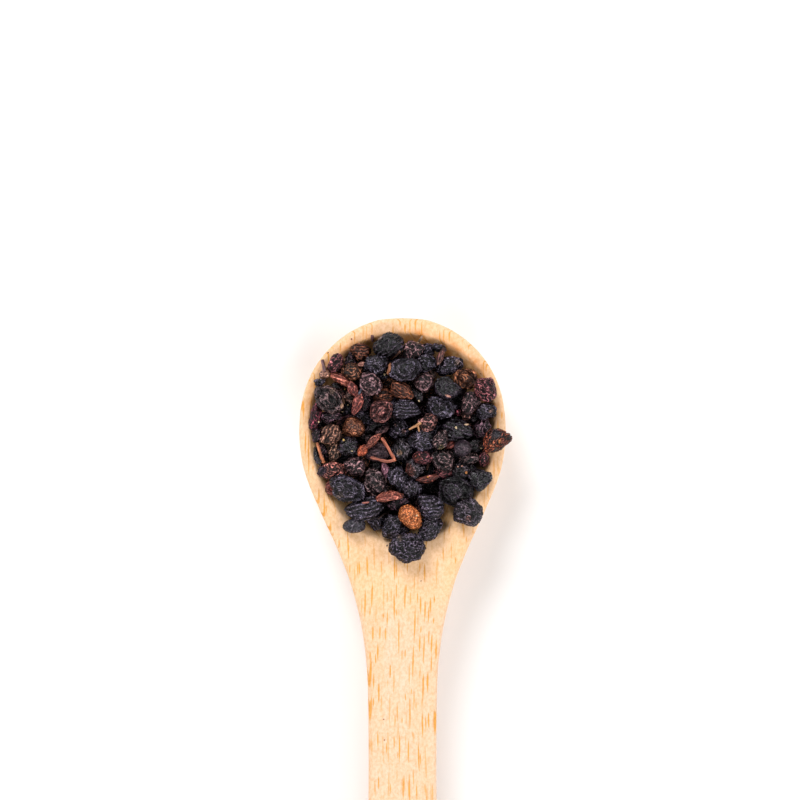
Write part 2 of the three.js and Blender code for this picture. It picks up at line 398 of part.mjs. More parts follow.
function spoonGeometry() {
  const right = rightOutline();
  const loop = [...right];
  for (let i = right.length - 2; i > 0; i--) loop.push(new THREE.Vector2(-right[i].x, right[i].y));
  const n = loop.length;
  const spine = loop.map((p) => new THREE.Vector2(
    0, Math.max(HANDLE_END_Y + HANDLE_END_RADIUS, Math.min(SPINE_TOP_Y, p.y)),
  ));
  // Where the rim's inner edge crosses the line from the spine to the outline.
  const rimShare = loop.map((p, i) => {
    for (let k = 100; k > 0; k--) {
      const t = k / 100;
      const x = spine[i].x + (p.x - spine[i].x) * t;
      const y = spine[i].y + (p.y - spine[i].y) * t;
      if (Math.hypot(x, y) < hollowRadius(Math.atan2(y, Math.abs(x)))) return Math.max(0.55, Math.min(0.94, t));
    }
    return 0.55;
  });
  const positions = [];
  const index = [];
  const add = (x, y, z) => positions.push(x, y, z) / 3 - 1;
  const at = (i, t) => [spine[i].x + (loop[i].x - spine[i].x) * t, spine[i].y + (loop[i].y - spine[i].y) * t];
  const edgeDistance = (i, t) => (1 - t) * Math.hypot(loop[i].x - spine[i].x, loop[i].y - spine[i].y);
  const rounding = (d, r) => (d >= r ? 0 : r - Math.sqrt(r * r - (r - d) ** 2));

  const topShares = (i) => {
    const s = [];
    for (let k = 0; k <= TOP_RINGS_HOLLOW; k++) s.push((rimShare[i] * k) / TOP_RINGS_HOLLOW);
    const rimOuter = 1 - TOP_EDGE_ROUND / Math.hypot(loop[i].x - spine[i].x, loop[i].y - spine[i].y);
    for (let k = 1; k <= TOP_RINGS_RIM; k++) {
      s.push(rimShare[i] + (Math.max(rimOuter, rimShare[i] + 0.02) - rimShare[i]) * (k / TOP_RINGS_RIM));
    }
    s.push(1);
    return s;
  };
  const bottomShares = (i) => {
    const s = [];
    const len = Math.hypot(loop[i].x - spine[i].x, loop[i].y - spine[i].y);
    const inner = Math.max(0.6, 1 - BOTTOM_EDGE_ROUND / len);
    for (let k = 0; k <= BOTTOM_RINGS; k++) s.push((inner * k) / BOTTOM_RINGS);
    s.push(1);
    return s;
  };
  const grid = (shares, height) => loop.map((p, i) => shares(i).map((t) => {
    const [x, y] = at(i, t);
    return add(x, y, height(x, y, edgeDistance(i, t)));
  }));
  const top = grid(topShares, (x, y, d) => topHeight(x, y) - rounding(d, TOP_EDGE_ROUND));
  const bottom = grid(bottomShares, (x, y, d) => bottomHeight(x, y) + rounding(d, BOTTOM_EDGE_ROUND));
  const quad = (a, b, c, d) => index.push(a, b, c, a, c, d);
  for (let i = 0; i < n; i++) {
    const j = (i + 1) % n;
    for (let k = 0; k + 1 < top[i].length; k++) quad(top[i][k], top[j][k], top[j][k + 1], top[i][k + 1]);
    for (let k = 0; k + 1 < bottom[i].length; k++) quad(bottom[i][k], bottom[i][k + 1], bottom[j][k + 1], bottom[j][k]);
    quad(top[i][top[i].length - 1], top[j][top[j].length - 1], bottom[j][bottom[j].length - 1], bottom[i][bottom[i].length - 1]);
  }
  const g = new THREE.BufferGeometry();
  g.setAttribute('position', new THREE.Float32BufferAttribute(positions, 3));
  g.setIndex(index);
  const merged = mergeVertices(g, 1e-4);
  // Faces that closed up at the spine are dropped.
  const ids = merged.index.array;
  const kept = [];
  for (let t = 0; t < ids.length; t += 3) {
    const [a, b, c] = [ids[t], ids[t + 1], ids[t + 2]];
    if (a !== b && b !== c && a !== c) kept.push(a, b, c);
  }
  merged.setIndex(kept);
  return merged;
}

// ---- berries and stalks ----------------------------------------------------

const wasm = await Module();
wasm.setup();

function solidOf(geometry) {
  const g = closed(geometry);
  return new wasm.Manifold(new wasm.Mesh({
    numProp: 3,
    vertProperties: new Float32Array(g.attributes.position.array),
    triVerts: new Uint32Array(g.index.array),
  }));
}

function geometryOf(solid) {
  const m = solid.getMesh();
  const g = new THREE.BufferGeometry();
  g.setAttribute('position', new THREE.Float32BufferAttribute(m.vertProperties, 3));
  g.setIndex(Array.from(m.triVerts));
  return g;
}

// A berry's solid lies along its length. Buried ones have fewer faces.
function berryGeometry(row, buried) {
  const [x, y, z, length, width, height, turn] = row;
  const g = new THREE.SphereGeometry(1, buried ? 5 : 7, buried ? 4 : 5);
  g.rotateZ(-Math.PI / 2);
  g.scale(length, width, height);
  g.rotateZ((turn * Math.PI) / 180);
  g.translate(x, y, z);
  return g;
}

function neckGeometry(a, b) {
  const p = new THREE.Vector3(...a.slice(0, 3));
  const q = new THREE.Vector3(...b.slice(0, 3));
  const way = q.clone().sub(p);
  const g = new THREE.CylinderGeometry(NECK_RADIUS, NECK_RADIUS, way.length(), 3);
  g.applyQuaternion(new THREE.Quaternion().setFromUnitVectors(new THREE.Vector3(0, 1, 0), way.clone().normalize()));
  const mid = p.add(q).multiplyScalar(0.5);
  g.translate(mid.x, mid.y, mid.z);
  return g;
}

function clumpGeometry(members, joins, buried) {
  if (members.length === 1) return closed(berryGeometry(BERRIES[members[0]], buried));
  let solid = solidOf(berryGeometry(BERRIES[members[0]], buried));
  for (const m of members.slice(1)) solid = solid.add(solidOf(berryGeometry(BERRIES[m], buried)));
  for (const [a, b] of joins) solid = solid.add(solidOf(neckGeometry(BERRIES[a], BERRIES[b])));
  return geometryOf(solid);
}

// A piece of stalk: a round section along its centre line.
function stalkGeometry(points, radius, steps) {
  const line = new THREE.CatmullRomCurve3(points.map((p) => new THREE.Vector3(...p)), false, 'catmullrom', 0.4);
  const section = new THREE.Shape([0, 1, 2, 3, 4].map((k) => new THREE.Vector2(
    radius * Math.cos((k * Math.PI * 2) / 5), radius * Math.sin((k * Math.PI * 2) / 5),
  )));
  return new THREE.ExtrudeGeometry(section, { steps, extrudePath: line, bevelEnabled: false });
}

// ---- assembly --------------------------------------------------------------

const spoonHeaped = new THREE.Group();
spoonHeaped.name = 'spoon_of_dried_elderberries';

function part(name, geometry, slot) {
  geometry.computeVertexNormals();
  const mesh = new THREE.Mesh(geometry, finish(slot));
  mesh.name = name;
  return mesh;
}

spoonHeaped.add(part('spoon', spoonGeometry(), 'wood'));

const heap = new THREE.Group();
for (const [name, slot, members, joins] of CLUMPS) {
  heap.add(part(name, clumpGeometry(members, joins, name.startsWith('lower') || name.startsWith('middle')), slot));
}
spoonHeaped.add(heap);

const stalks = new THREE.Group();
stalks.add(part('bent_stalk', closed(stalkGeometry(BENT_STALK, STALK_RADIUS, 14)), 'stalk'));
stalks.add(part('short_stalk', closed(stalkGeometry(SHORT_STALK, STALK_RADIUS, 6)), 'stalk'));
stalks.add(part('forked_stalk', geometryOf(
  solidOf(stalkGeometry(FORK_MAIN, TWIG_RADIUS, 6)).add(solidOf(stalkGeometry(FORK_BRANCH, TWIG_RADIUS * 0.85, 4))),
), 'stalk'));
spoonHeaped.add(stalks);

export default spoonHeaped;
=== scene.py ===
"""The looks of a small wooden spoon heaped with dried elderberries.

Sizes in the tables are in millimetres, in the part's own frame: +Z up, the origin
under the bowl, +Y towards the spoon's tip. Everything is turned into metres at the end.
"""

import math

import bmesh
import bpy
import numpy as np
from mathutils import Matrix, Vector
from mathutils.bvhtree import BVHTree


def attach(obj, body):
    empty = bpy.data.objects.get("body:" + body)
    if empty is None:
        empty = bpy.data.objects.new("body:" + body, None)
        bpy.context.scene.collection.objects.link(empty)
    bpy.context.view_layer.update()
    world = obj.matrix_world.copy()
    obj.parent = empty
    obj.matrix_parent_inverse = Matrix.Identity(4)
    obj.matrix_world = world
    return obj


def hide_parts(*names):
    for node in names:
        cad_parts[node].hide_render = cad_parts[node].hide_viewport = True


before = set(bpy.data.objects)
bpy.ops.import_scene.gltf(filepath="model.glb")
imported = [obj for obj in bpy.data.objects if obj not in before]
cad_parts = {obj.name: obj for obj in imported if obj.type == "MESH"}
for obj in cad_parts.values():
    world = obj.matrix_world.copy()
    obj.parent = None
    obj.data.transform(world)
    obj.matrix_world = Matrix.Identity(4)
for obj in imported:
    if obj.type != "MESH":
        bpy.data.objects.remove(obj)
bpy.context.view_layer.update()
MM = 0.001
KEY_POWER, FILL_POWER, WORLD = 6.8, 2.7, 0.13

# ---------------------------------------------------------------------------
# the spoon's form
# ---------------------------------------------------------------------------

RIM_HEIGHT, BOWL_DEPTH, BOWL_HALF_WIDTH = 10.2, 7.5, 14.6
HANDLE_THICKNESS, RIM_THICKNESS = 4.2, 2.3
HANDLE_END_Y, HANDLE_END_RADIUS, BELLY_DEPTH = -122.0, 5.8, 8.9
TOP_ROUND, BOTTOM_ROUND, SPINE_TOP_Y = 0.75, 1.0, 2.0

OUTLINE = [
    (0, 17.81), (1.88, 17.72), (3.84, 17.5), (5.08, 17.11), (6.44, 16.56), (7.97, 15.78), (9.38, 14.84),
    (10.88, 13.59), (12.34, 12.03), (13.59, 10.31), (14.58, 8.44), (15.34, 6.41), (15.83, 4.22),
    (16.09, 1.88), (16.16, -0.47), (15.97, -2.81), (15.63, -5), (15.06, -7.03), (14.31, -9.06),
    (13.44, -11.09), (12.56, -13.13), (11.55, -15.31), (10.47, -17.66), (9.5, -20), (8.52, -22.5),
    (7.73, -25), (7.06, -27.5), (6.48, -30.16), (5.97, -33.28), (5.59, -36.88), (5.41, -41.09),
    (5.34, -46.56), (5.36, -62), (5.42, -80), (5.6, -98), (5.75, -110),
]
HOLLOW = [
    (-90, 17.7), (-84.7, 17.62), (-78.3, 17.39), (-71, 17.02), (-63.2, 16.63), (-55.8, 16.24),
    (-48.5, 15.85), (-41, 15.48), (-33.2, 15.12), (-24.9, 14.82), (-16.7, 14.65), (-8, 14.58),
    (1.2, 14.63), (10.4, 14.77), (19.4, 15.04), (28, 15.29), (36.5, 15.51), (44.6, 15.58), (52.3, 15.6),
    (60.2, 15.57), (67.8, 15.52), (75.4, 15.5), (82.2, 15.49), (90, 15.47),
]
BULGE = [
    (-90, 25.86), (-87.6, 25.65), (-83.5, 24.85), (-78.2, 23.63), (-72.1, 22.16), (-65, 20.69),
    (-57, 19.37), (-48.6, 18.32), (-39.4, 17.49), (-29.4, 16.86), (-17.7, 16.41), (-1.7, 16.16),
    (14.9, 16.38), (30.1, 16.84), (44.3, 17.24), (57.7, 17.56), (68.8, 17.77), (77.6, 17.92),
    (90, 17.81),
]

# ---------------------------------------------------------------------------
# the heap: centre x, y, z, half-length, half-width, half-height, turn, kind, and
# how much of it shows: 0 buried, 1 mostly hidden, 2 half hidden, 3 on top
# ---------------------------------------------------------------------------

BERRIES = [
    (-10.47, 10.69, 11.03, 1.63, 1.01, 1.18, 58, "maroon", 3),
    (-12.84, 7.79, 10.91, 0.96, 0.56, 0.87, 15, "black", 2),
    (-12.15, 9.02, 10.84, 0.77, 0.67, 0.87, 0, "beige", 2),
    (-6.6, 12.6, 10.69, 1.48, 1.3, 1.27, 170, "brownorange", 3),
    (-8.14, 11.15, 9.68, 1.19, 0.77, 0.88, 85, "dkpurple", 1),
    (-7.86, 9.38, 11.23, 1.52, 1.28, 1.29, 170, "brown", 2),
    (-9.58, 9.66, 9.34, 0.9, 0.7, 0.92, 0, "dkpurple", 1),
    (-9.62, 8.18, 8.91, 1.65, 0.57, 0.67, 152, "salmon", 3),
    (-10.33, 7.14, 9.92, 0.84, 0.59, 0.92, 0, "dark", 2),
    (-7.7, 6.71, 11.15, 1.02, 0.63, 0.7, 120, "red", 3),
    (-7.02, 4.53, 11.13, 1.57, 0.68, 0.79, 72, "red", 3),
    (-7.96, 5.54, 9.86, 1.16, 0.98, 0.98, 0, "browngrey", 2),
    (-5.77, 4.99, 9.22, 1.59, 1.19, 1.26, 70, "dkpurple", 1),
    (-11.51, 5.12, 11.97, 2.3, 1.78, 1.83, 142, "blackbrown", 3),
    (-11.16, 2.41, 10.74, 1.64, 0.95, 1.14, 5, "dkpurple", 2),
    (-12.82, 1.72, 9.35, 1.14, 0.65, 0.89, 75, "dark", 2),
    (-5.11, 7.51, 11.84, 1.75, 1.58, 1.53, 135, "purple", 3),
    (-2.94, 5.61, 10.6, 1.84, 1.14, 1.33, 5, "brownorange", 2),
    (-3.28, 3.34, 12.4, 1.75, 1.63, 1.55, 50, "cupmaroon", 3),
    (-4.2, 10.54, 11.97, 1.72, 1.49, 1.47, 160, "black", 3),
    (-3.11, 8.95, 10.39, 0.89, 0.71, 0.97, 0, "black", 2),
    (-2.35, 13.55, 11.05, 2.31, 1.87, 1.84, 25, "blackgloss", 3),
    (1.55, 12.64, 10.48, 1.6, 1.44, 1.39, 10, "purple", 3),
    (0.46, 9.69, 11.99, 2.32, 1.9, 1.91, 15, "black", 3),
    (3.8, 12.54, 9.25, 1.2, 1.02, 1.02, 80, "black", 1),
    (3.79, 10.65, 10.73, 1.29, 1.29, 1.19, 0, "black", 1),
    (3.34, 7.83, 11.07, 1.46, 1.35, 1.29, 10, "purple", 3),
    (2.2, 5.72, 10.16, 1.09, 1.09, 1.01, 0, "dark", 1),
    (4.46, 8.95, 9.53, 0.79, 0.69, 0.92, 90, "browngrey", 1),
    (3.35, 9.45, 7.43, 1.77, 1.53, 1.58, 81, "black", 0),
    (-0.14, 6.44, 11.91, 1.87, 1.21, 1.38, 150, "brownorange", 3),
    (0.54, 3.56, 11.85, 2.02, 1.46, 1.58, 172, "black", 3),
    (5.94, 11.78, 11.2, 1.39, 0.5, 0.58, 68, "flap", 3),
    (5.71, 13.11, 10.06, 1.14, 0.62, 0.96, 170, "black", 2),
    (7.16, 10.36, 9.61, 2.13, 1.47, 1.63, 18, "black", 3),
    (9.87, 8.36, 10.36, 1.86, 1.64, 1.6, 170, "cuporange", 3),
    (9.03, 6.83, 7.98, 0.99, 0.99, 0.92, 0, "smooth", 1),
    (13.09, 6.75, 11.67, 1.86, 1.7, 1.63, 135, "maroon", 3),
    (10.53, 4.57, 11.54, 1.69, 1.35, 1.39, 70, "purple", 3),
    (6.71, 6.99, 11.54, 1.94, 1.55, 1.59, 145, "blackgloss", 3),
    (5.94, 3.78, 11.23, 2.14, 1.71, 1.76, 170, "black", 3),
    (8.64, 2.98, 10.53, 0.57, 0.53, 0.97, 0, "crimson", 2),
    (3.99, 1.48, 12.19, 1.44, 1.34, 1.28, 0, "maroonbrown", 3),
    (13.18, 3.3, 10.98, 1.7, 1.18, 1.3, 5, "black", 3),
    (12.49, 0.45, 9.89, 1.68, 1.22, 1.32, 80, "dkpurple", 2),
    (9.95, 2.61, 10.19, 0.89, 0.71, 0.85, 110, "pinkbrown", 3),
    (11.24, 2.26, 9.07, 0.97, 0.88, 0.9, 0, "dark", 1),
    (8.14, 2.08, 8.65, 1.52, 1.3, 1.23, 133, "dark", 1),
    (10.36, 0.46, 7.82, 1.69, 1.33, 1.2, 34, "maroonbrown", 1),
    (8.59, 0.23, 11.05, 2.48, 1.52, 1.79, 168, "blackgloss", 3),
    (7.48, -2, 10.71, 0.93, 0.57, 0.97, 35, "red", 2),
    (7.69, -3.42, 9.15, 1.48, 1.17, 1.22, 147, "blackgloss", 1),
    (14.6, -1.42, 11.94, 2.05, 1.73, 1.73, 25, "orange", 3),
    (9.36, -2.5, 12.14, 1.3, 1.23, 1.16, 0, "smooth", 3),
    (10.34, -4.05, 10.5, 1.6, 1.11, 1.22, 0, "blackbrown", 2),
    (12.67, -4.16, 9.98, 1.31, 0.79, 0.94, 85, "maroon", 2),
    (6, -1.24, 12.43, 1.43, 1.15, 1.18, 80, "blackbrown", 3),
    (3.06, -1.38, 11.58, 1.91, 1.6, 1.61, 10, "black", 3),
    (3.17, -3.92, 12.25, 1.39, 0.99, 1.08, 170, "maroon", 3),
    (6.39, -4.27, 11.48, 1.76, 1.54, 1.51, 145, "blackbrown", 3),
    (9.13, -6.03, 11.12, 1.28, 1.1, 1.09, 0, "dark", 1),
    (12.14, -7.38, 11.34, 1.65, 1.54, 1.47, 0, "blackgloss", 3),
    (6.38, -6.19, 9.82, 1.35, 0.88, 1, 0, "maroon", 1),
    (8.15, -9.21, 9.91, 2.78, 2.41, 1.91, 172, "blackgloss", 3),
    (10.13, -12.59, 12.11, 2.2, 2.1, 1.91, 0, "blackpink", 2),
    (-13.74, 2.46, 10.87, 2.08, 0.88, 1.25, 78, "crimson", 2),
    (-13.33, -0.53, 10.17, 1.18, 0.89, 0.97, 80, "dkpurple", 2),
    (-11.58, 1.06, 8.33, 1.09, 0.64, 0.84, 0, "dark", 1),
    (-9.27, 1.77, 8.72, 1.56, 0.44, 0.51, 35, "stalkpurple", 3),
    (-7.6, 0.75, 10.24, 1.61, 1.5, 1.43, 0, "orangesmooth", 3),
    (-11.21, -0.45, 11.47, 1.59, 1.28, 1.31, 50, "tan", 3),
    (-10.59, -2.9, 10.12, 1.67, 1.11, 1.25, 85, "olive", 2),
    (-8.16, -2.37, 11.11, 1.58, 1.39, 1.36, 150, "blackgloss", 3),
    (-13.27, -3.7, 10.4, 1.5, 0.59, 0.95, 105, "blackgloss", 2),
    (-12.33, -3.12, 9.29, 1.41, 0.72, 0.94, 105, "dkpurple", 2),
    (-10.98, -6.02, 10.33, 2.12, 1.35, 1.56, 8, "brownred", 3),
    (-7.52, -5.44, 11.24, 1.54, 1.45, 1.37, 0, "purple", 3),
    (-6.28, -2.83, 12.05, 0.87, 0.59, 0.63, 60, "salmon", 3),
    (-4.55, -1.39, 12.34, 1.51, 0.59, 0.69, 45, "salmon", 3),
    (-0.31, 0.56, 9.11, 1.73, 1.51, 1.49, 0, "black", 3),
    (-0.12, -2.65, 10.2, 1.67, 1.51, 1.46, 105, "blackscar", 3),
    (-1.3, 1.82, 6.87, 1.35, 1.17, 1.21, 179, "blackbrown", 1),
    (-4.24, 0.84, 9.22, 1.85, 0.74, 1.08, 30, "dark", 2),
    (-3.16, 0.29, 10.28, 1.23, 0.49, 0.85, 30, "purple", 3),
    (-4.19, -3.08, 10.3, 1.91, 1.41, 1.51, 170, "purplesmooth", 2),
    (-4.1, -5.37, 9.81, 0.94, 0.9, 0.95, 0, "dark", 2),
    (-4.37, -8.11, 10.42, 2.07, 1.76, 1.76, 130, "blackbrown", 3),
    (-6.01, -4.95, 8.74, 1.34, 1.26, 1.09, 160, "brown", 1),
    (1.8, -5.75, 10.89, 1.58, 1.42, 1.38, 160, "redblack", 3),
    (-2.73, -5.91, 10.52, 1.01, 0.58, 0.67, 100, "pinkpurple", 3),
    (-0.77, -7.2, 11.04, 1.92, 1.35, 1.48, 100, "black", 3),
    (3.91, -7.26, 11.25, 1.7, 0.6, 0.7, 8, "flake", 3),
    (1.58, -8.96, 10.88, 1.53, 1.28, 1.29, 60, "black", 2),
    (-1.34, -5.08, 8.69, 0.78, 0.6, 0.97, 0, "dark", 2),
    (-11.09, -8.81, 10.29, 1.26, 0.87, 0.95, 120, "red", 2),
    (-8.38, -8.96, 12.14, 2.74, 1.83, 1.88, 162, "black", 3),
    (-6.08, -12.17, 11.22, 2.4, 1.53, 1.76, 5, "black", 3),
    (-7.56, -14.61, 11.32, 1.53, 1.02, 1.15, 5, "smoothgrey", 3),
    (-2.15, -10.12, 11.58, 2.12, 0.74, 0.86, 8, "salmon", 3),
    (-0.71, -11.01, 9.8, 1.78, 1.28, 1.39, 10, "dkpurple", 2),
    (4.27, -11.46, 12.04, 2.1, 1.71, 1.74, 150, "black", 3),
    (4.26, -14.99, 11.12, 2.13, 1.74, 1.77, 30, "black", 2),
    (0.82, -17.86, 12.1, 2.56, 2.22, 1.91, 0, "blackpebble", 3),
    (1.17, -13.23, 12.51, 2.02, 1.68, 1.69, 125, "orangebright", 3),
    (-1.29, -14.68, 10.18, 2.13, 1.8, 1.78, 40, "black", 2),
    (11.18, -2, 10.75, 1.04, 0.87, 0.87, 0, "dark", 1),
    (-1.71, -1.83, 4.37, 1.8, 1.57, 1.36, 135, "blackgloss", 0),
    (-0.52, -10.66, 6.88, 1.76, 1.75, 1.53, 23, "purple", 0),
    (1.71, -12.9, 8.38, 1.78, 1.59, 1.63, 6, "maroonbrown", 0),
    (4.95, -11.78, 8.64, 1.77, 1.67, 1.51, 102, "black", 0),
    (-4.53, -7.69, 6.44, 1.85, 1.59, 1.58, 67, "black", 0),
    (-1.3, -7.53, 5.61, 1.76, 1.48, 1.52, 136, "blackgloss", 0),
    (0.93, -7.43, 8.54, 1.73, 1.59, 1.51, 46, "black", 0),
    (2.32, -7.37, 5.73, 1.93, 1.51, 1.54, 14, "brown", 0),
    (-6.48, -4.89, 6.24, 1.94, 1.43, 1.39, 173, "dark", 0),
    (-3.16, -4.8, 5.02, 1.69, 1.51, 1.33, 39, "black", 0),
    (4, -4.34, 5.27, 1.72, 1.68, 1.51, 98, "blackgloss", 0),
    (-8.07, -1.82, 6.63, 1.81, 1.53, 1.58, 91, "brown", 0),
    (-5.17, -1.87, 5.18, 2.12, 1.66, 1.4, 92, "brown", 0),
    (-6.71, 1.3, 5.78, 1.69, 1.5, 1.48, 18, "dark", 0),
    (-5.67, -0.71, 7.59, 1.43, 1.23, 1.16, 125, "blackbrown", 1),
    (-9.68, -0.3, 8.56, 1.45, 1.2, 1.22, 178, "brown", 1),
    (1.82, -1.84, 4.41, 1.73, 1.68, 1.39, 24, "blackgloss", 0),
    (-3.32, 1.74, 4.76, 2.04, 1.68, 1.53, 71, "maroonbrown", 0),
    (0.11, 1.34, 4.43, 2.02, 1.7, 1.55, 80, "black", 0),
    (-2.24, 5.55, 5.25, 1.88, 1.46, 1.43, 56, "dark", 0),
    (0.49, -1.6, 6.97, 2.05, 1.71, 1.38, 27, "purple", 0),
    (2.88, -3.07, 8.81, 2, 1.72, 1.54, 38, "black", 0),
    (5.32, -1.23, 5.32, 1.99, 1.53, 1.49, 176, "dkpurple", 0),
    (-3.11, 4.22, 8.02, 2.08, 1.71, 1.55, 32, "black", 0),
    (0.68, 4.28, 8.32, 2.1, 1.76, 1.56, 94, "purple", 0),
    (3.58, 1.73, 4.7, 1.86, 1.53, 1.42, 144, "brown", 0),
    (-5.69, 4.41, 5.77, 1.97, 1.58, 1.42, 146, "black", 0),
    (-4.23, 7.67, 6.56, 1.78, 1.64, 1.53, 77, "blackgloss", 0),
    (1.04, 4.75, 4.94, 1.86, 1.46, 1.46, 138, "dkpurple", 0),
    (-3.8, 10.66, 8.27, 1.85, 1.65, 1.38, 67, "blackbrown", 0),
    (-0.86, 11.31, 7.98, 1.36, 1.3, 1.26, 64, "black", 1),
    (-6.76, 9.94, 8.39, 1.47, 1.33, 1.11, 104, "dark", 1),
    (0.46, -4.8, 4.67, 1.89, 1.44, 1.36, 163, "dark", 0),
    (-2.81, -1.25, 6.63, 1.42, 1.27, 1.11, 92, "brown", 1),
    (-2.03, -3.95, 7.18, 1.28, 1.21, 1.08, 69, "black", 1),
    (0.57, -4.79, 7.2, 1.52, 1.24, 1.13, 34, "black", 1),
    (7.93, -5.83, 7.47, 1.8, 1.62, 1.59, 147, "maroonbrown", 0),
    (8.34, -2.38, 6.74, 1.86, 1.64, 1.37, 45, "blackgloss", 0),
    (7.85, 0.9, 6.23, 1.67, 1.5, 1.36, 34, "blackbrown", 0),
    (6.17, 3.91, 5.87, 2.11, 1.69, 1.48, 75, "maroonbrown", 0),
    (4.43, -8.88, 7.59, 1.56, 1.3, 1.18, 157, "dark", 1),
    (2.14, 1.3, 7.57, 1.5, 1.18, 1.22, 84, "dark", 1),
    (3.77, 5.7, 5.22, 1.59, 1.2, 1.08, 98, "brown", 1),
    (4.18, -5.89, 7.72, 1.63, 1.19, 1.22, 68, "blackgloss", 1),
    (8.88, 4.62, 7.02, 1.48, 1.3, 1.19, 101, "dark", 1),
    (3.16, 3.63, 6.64, 1.33, 1.18, 1.14, 21, "dkpurple", 1),
    (5.2, 0.92, 7.2, 1.56, 1.17, 1.14, 112, "black", 1),
    (10.47, -6.23, 9.11, 1.59, 1.26, 1.19, 126, "black", 1),
    (2.42, -10.38, 6.68, 1.63, 1.19, 1.2, 93, "purple", 1),
    (5.45, -3.13, 7.33, 1.43, 1.19, 1.09, 88, "blackbrown", 1),
    (5.66, -7.21, 6.19, 1.37, 1.32, 1.07, 174, "dkpurple", 1),
    (1.79, 6.72, 6.7, 1.35, 1.14, 1.13, 73, "blackbrown", 1),
    (-0.84, 8.59, 6.48, 2.02, 1.64, 1.42, 140, "purple", 0),
    (-2.26, 7.73, 8.79, 1.54, 1.33, 1.23, 10, "brown", 1),
    (-5.82, 2.22, 8.09, 1.55, 1.14, 1.06, 142, "black", 1),
    (-8.48, 3.52, 6.58, 1.37, 1.31, 1.21, 111, "black", 1),
    (-3.17, -11.92, 7.63, 1.56, 1.29, 1.15, 122, "dkpurple", 1),
    (-4.12, -13.7, 9.17, 1.38, 1.15, 1.17, 123, "black", 1),
    (-5.54, -10.36, 7.66, 1.38, 1.24, 1.28, 15, "black", 1),
    (-9.5, 6.32, 8.07, 1.49, 1.19, 1.23, 134, "maroonbrown", 1),
    (-7.23, 6.84, 6.8, 1.49, 1.21, 1.17, 35, "black", 1),
    (-9.49, -4.37, 7.77, 1.72, 1.23, 1.18, 4, "black", 1),
    (-2.16, -8.33, 8.05, 1.46, 1.29, 1.1, 16, "brown", 1),
    (-7.61, -7.3, 7.26, 1.62, 1.34, 1.18, 144, "brown", 1),
    (11.59, -2.28, 8.85, 1.47, 1.14, 1.03, 36, "black", 1),
]

# piece, its slot, its berries
CLUMPS = [
    ("berry_trio_01", "berry_red", [0, 1, 2]),
    ("berry_trio_02", "berry_brown", [3, 4, 5]),
    ("berry_trio_05", "berry_red", [6, 7, 8]),
    ("berry_four_07", "berry_red", [9, 10, 11, 12]),
    ("berry_trio_09", "berry_black", [13, 14, 15]),
    ("berry_trio_14", "berry_red", [16, 17, 18]),
    ("berry_trio_15", "berry_black", [19, 20, 21]),
    ("berry_four_18", "berry_black", [22, 23, 24, 25]),
    ("berry_four_22", "berry_purple", [26, 27, 28, 29]),
    ("berry_pair_23", "berry_black", [30, 31]),
    ("berry_pair_27", "berry_brown", [32, 33]),
    ("berry_pair_29", "berry_black", [34, 35]),
    ("berry_31", "berry_black", [36]),
    ("berry_pair_32", "berry_red", [37, 38]),
    ("berry_four_33", "berry_black", [39, 40, 41, 42]),
    ("berry_pair_36", "berry_black", [43, 44]),
    ("berry_four_37", "berry_brown", [45, 46, 47, 48]),
    ("berry_trio_40", "berry_black", [49, 50, 51]),
    ("berry_42", "berry_orange", [52]),
    ("berry_trio_43", "berry_black", [53, 54, 55]),
    ("berry_trio_45", "berry_black", [56, 57, 58]),
    ("berry_pair_46", "berry_black", [59, 60]),
    ("berry_50", "berry_black", [61]),
    ("berry_trio_51", "berry_black", [62, 63, 64]),
    ("berry_pair_52", "berry_red", [65, 66]),
    ("berry_pair_55", "berry_purple", [67, 68]),
    ("berry_57", "berry_orange", [69]),
    ("berry_trio_58", "berry_black", [70, 71, 72]),
    ("berry_four_61", "berry_brown", [73, 74, 75, 76]),
    ("berry_pair_64", "berry_red", [77, 78]),
    ("berry_trio_68", "berry_black", [79, 80, 81]),
    ("berry_pair_69", "berry_black", [82, 83]),
    ("berry_four_74", "berry_black", [84, 85, 86, 87]),
    ("berry_77", "berry_red", [88]),
    ("berry_79", "berry_purple", [89]),
    ("berry_trio_80", "berry_black", [90, 91, 92]),
    ("berry_81", "berry_black", [93]),
    ("berry_pair_83", "berry_black", [94, 95]),
    ("berry_pair_85", "berry_black", [96, 97]),
    ("berry_pair_88", "berry_red", [98, 99]),
    ("berry_trio_91", "berry_black", [100, 101, 102]),
    ("berry_pair_92", "berry_orange", [103, 104]),
    ("berry_99", "berry_black", [105]),
    ("lower_berries_1", "berry_black", [106, 107, 108, 109, 110, 111, 112, 113, 114, 115, 116, 117, 118, 119, 120, 121]),
    ("lower_berries_2", "berry_black", [122, 123, 124, 125, 126, 127, 128, 129, 130, 131, 132, 133, 134, 135, 136, 137]),
    ("middle_berries_1", "berry_black", [138, 139, 140, 141]),
    ("middle_berries_2", "berry_black", [142, 143, 144, 145, 146, 147, 148, 149, 150, 151, 152, 153, 154, 155, 156, 157]),
    ("middle_berries_3", "berry_black", [158, 159]),
    ("middle_berries_4", "berry_black", [160]),
    ("middle_berries_5", "berry_black", [161]),
    ("middle_berries_6", "berry_black", [162, 163, 164]),
    ("middle_berries_7", "berry_black", [165, 166]),
    ("middle_berries_8", "berry_black", [167]),
    ("middle_berries_9", "berry_black", [168]),
    ("middle_berries_10", "berry_black", [169]),
    ("middle_berries_11", "berry_black", [170]),
]

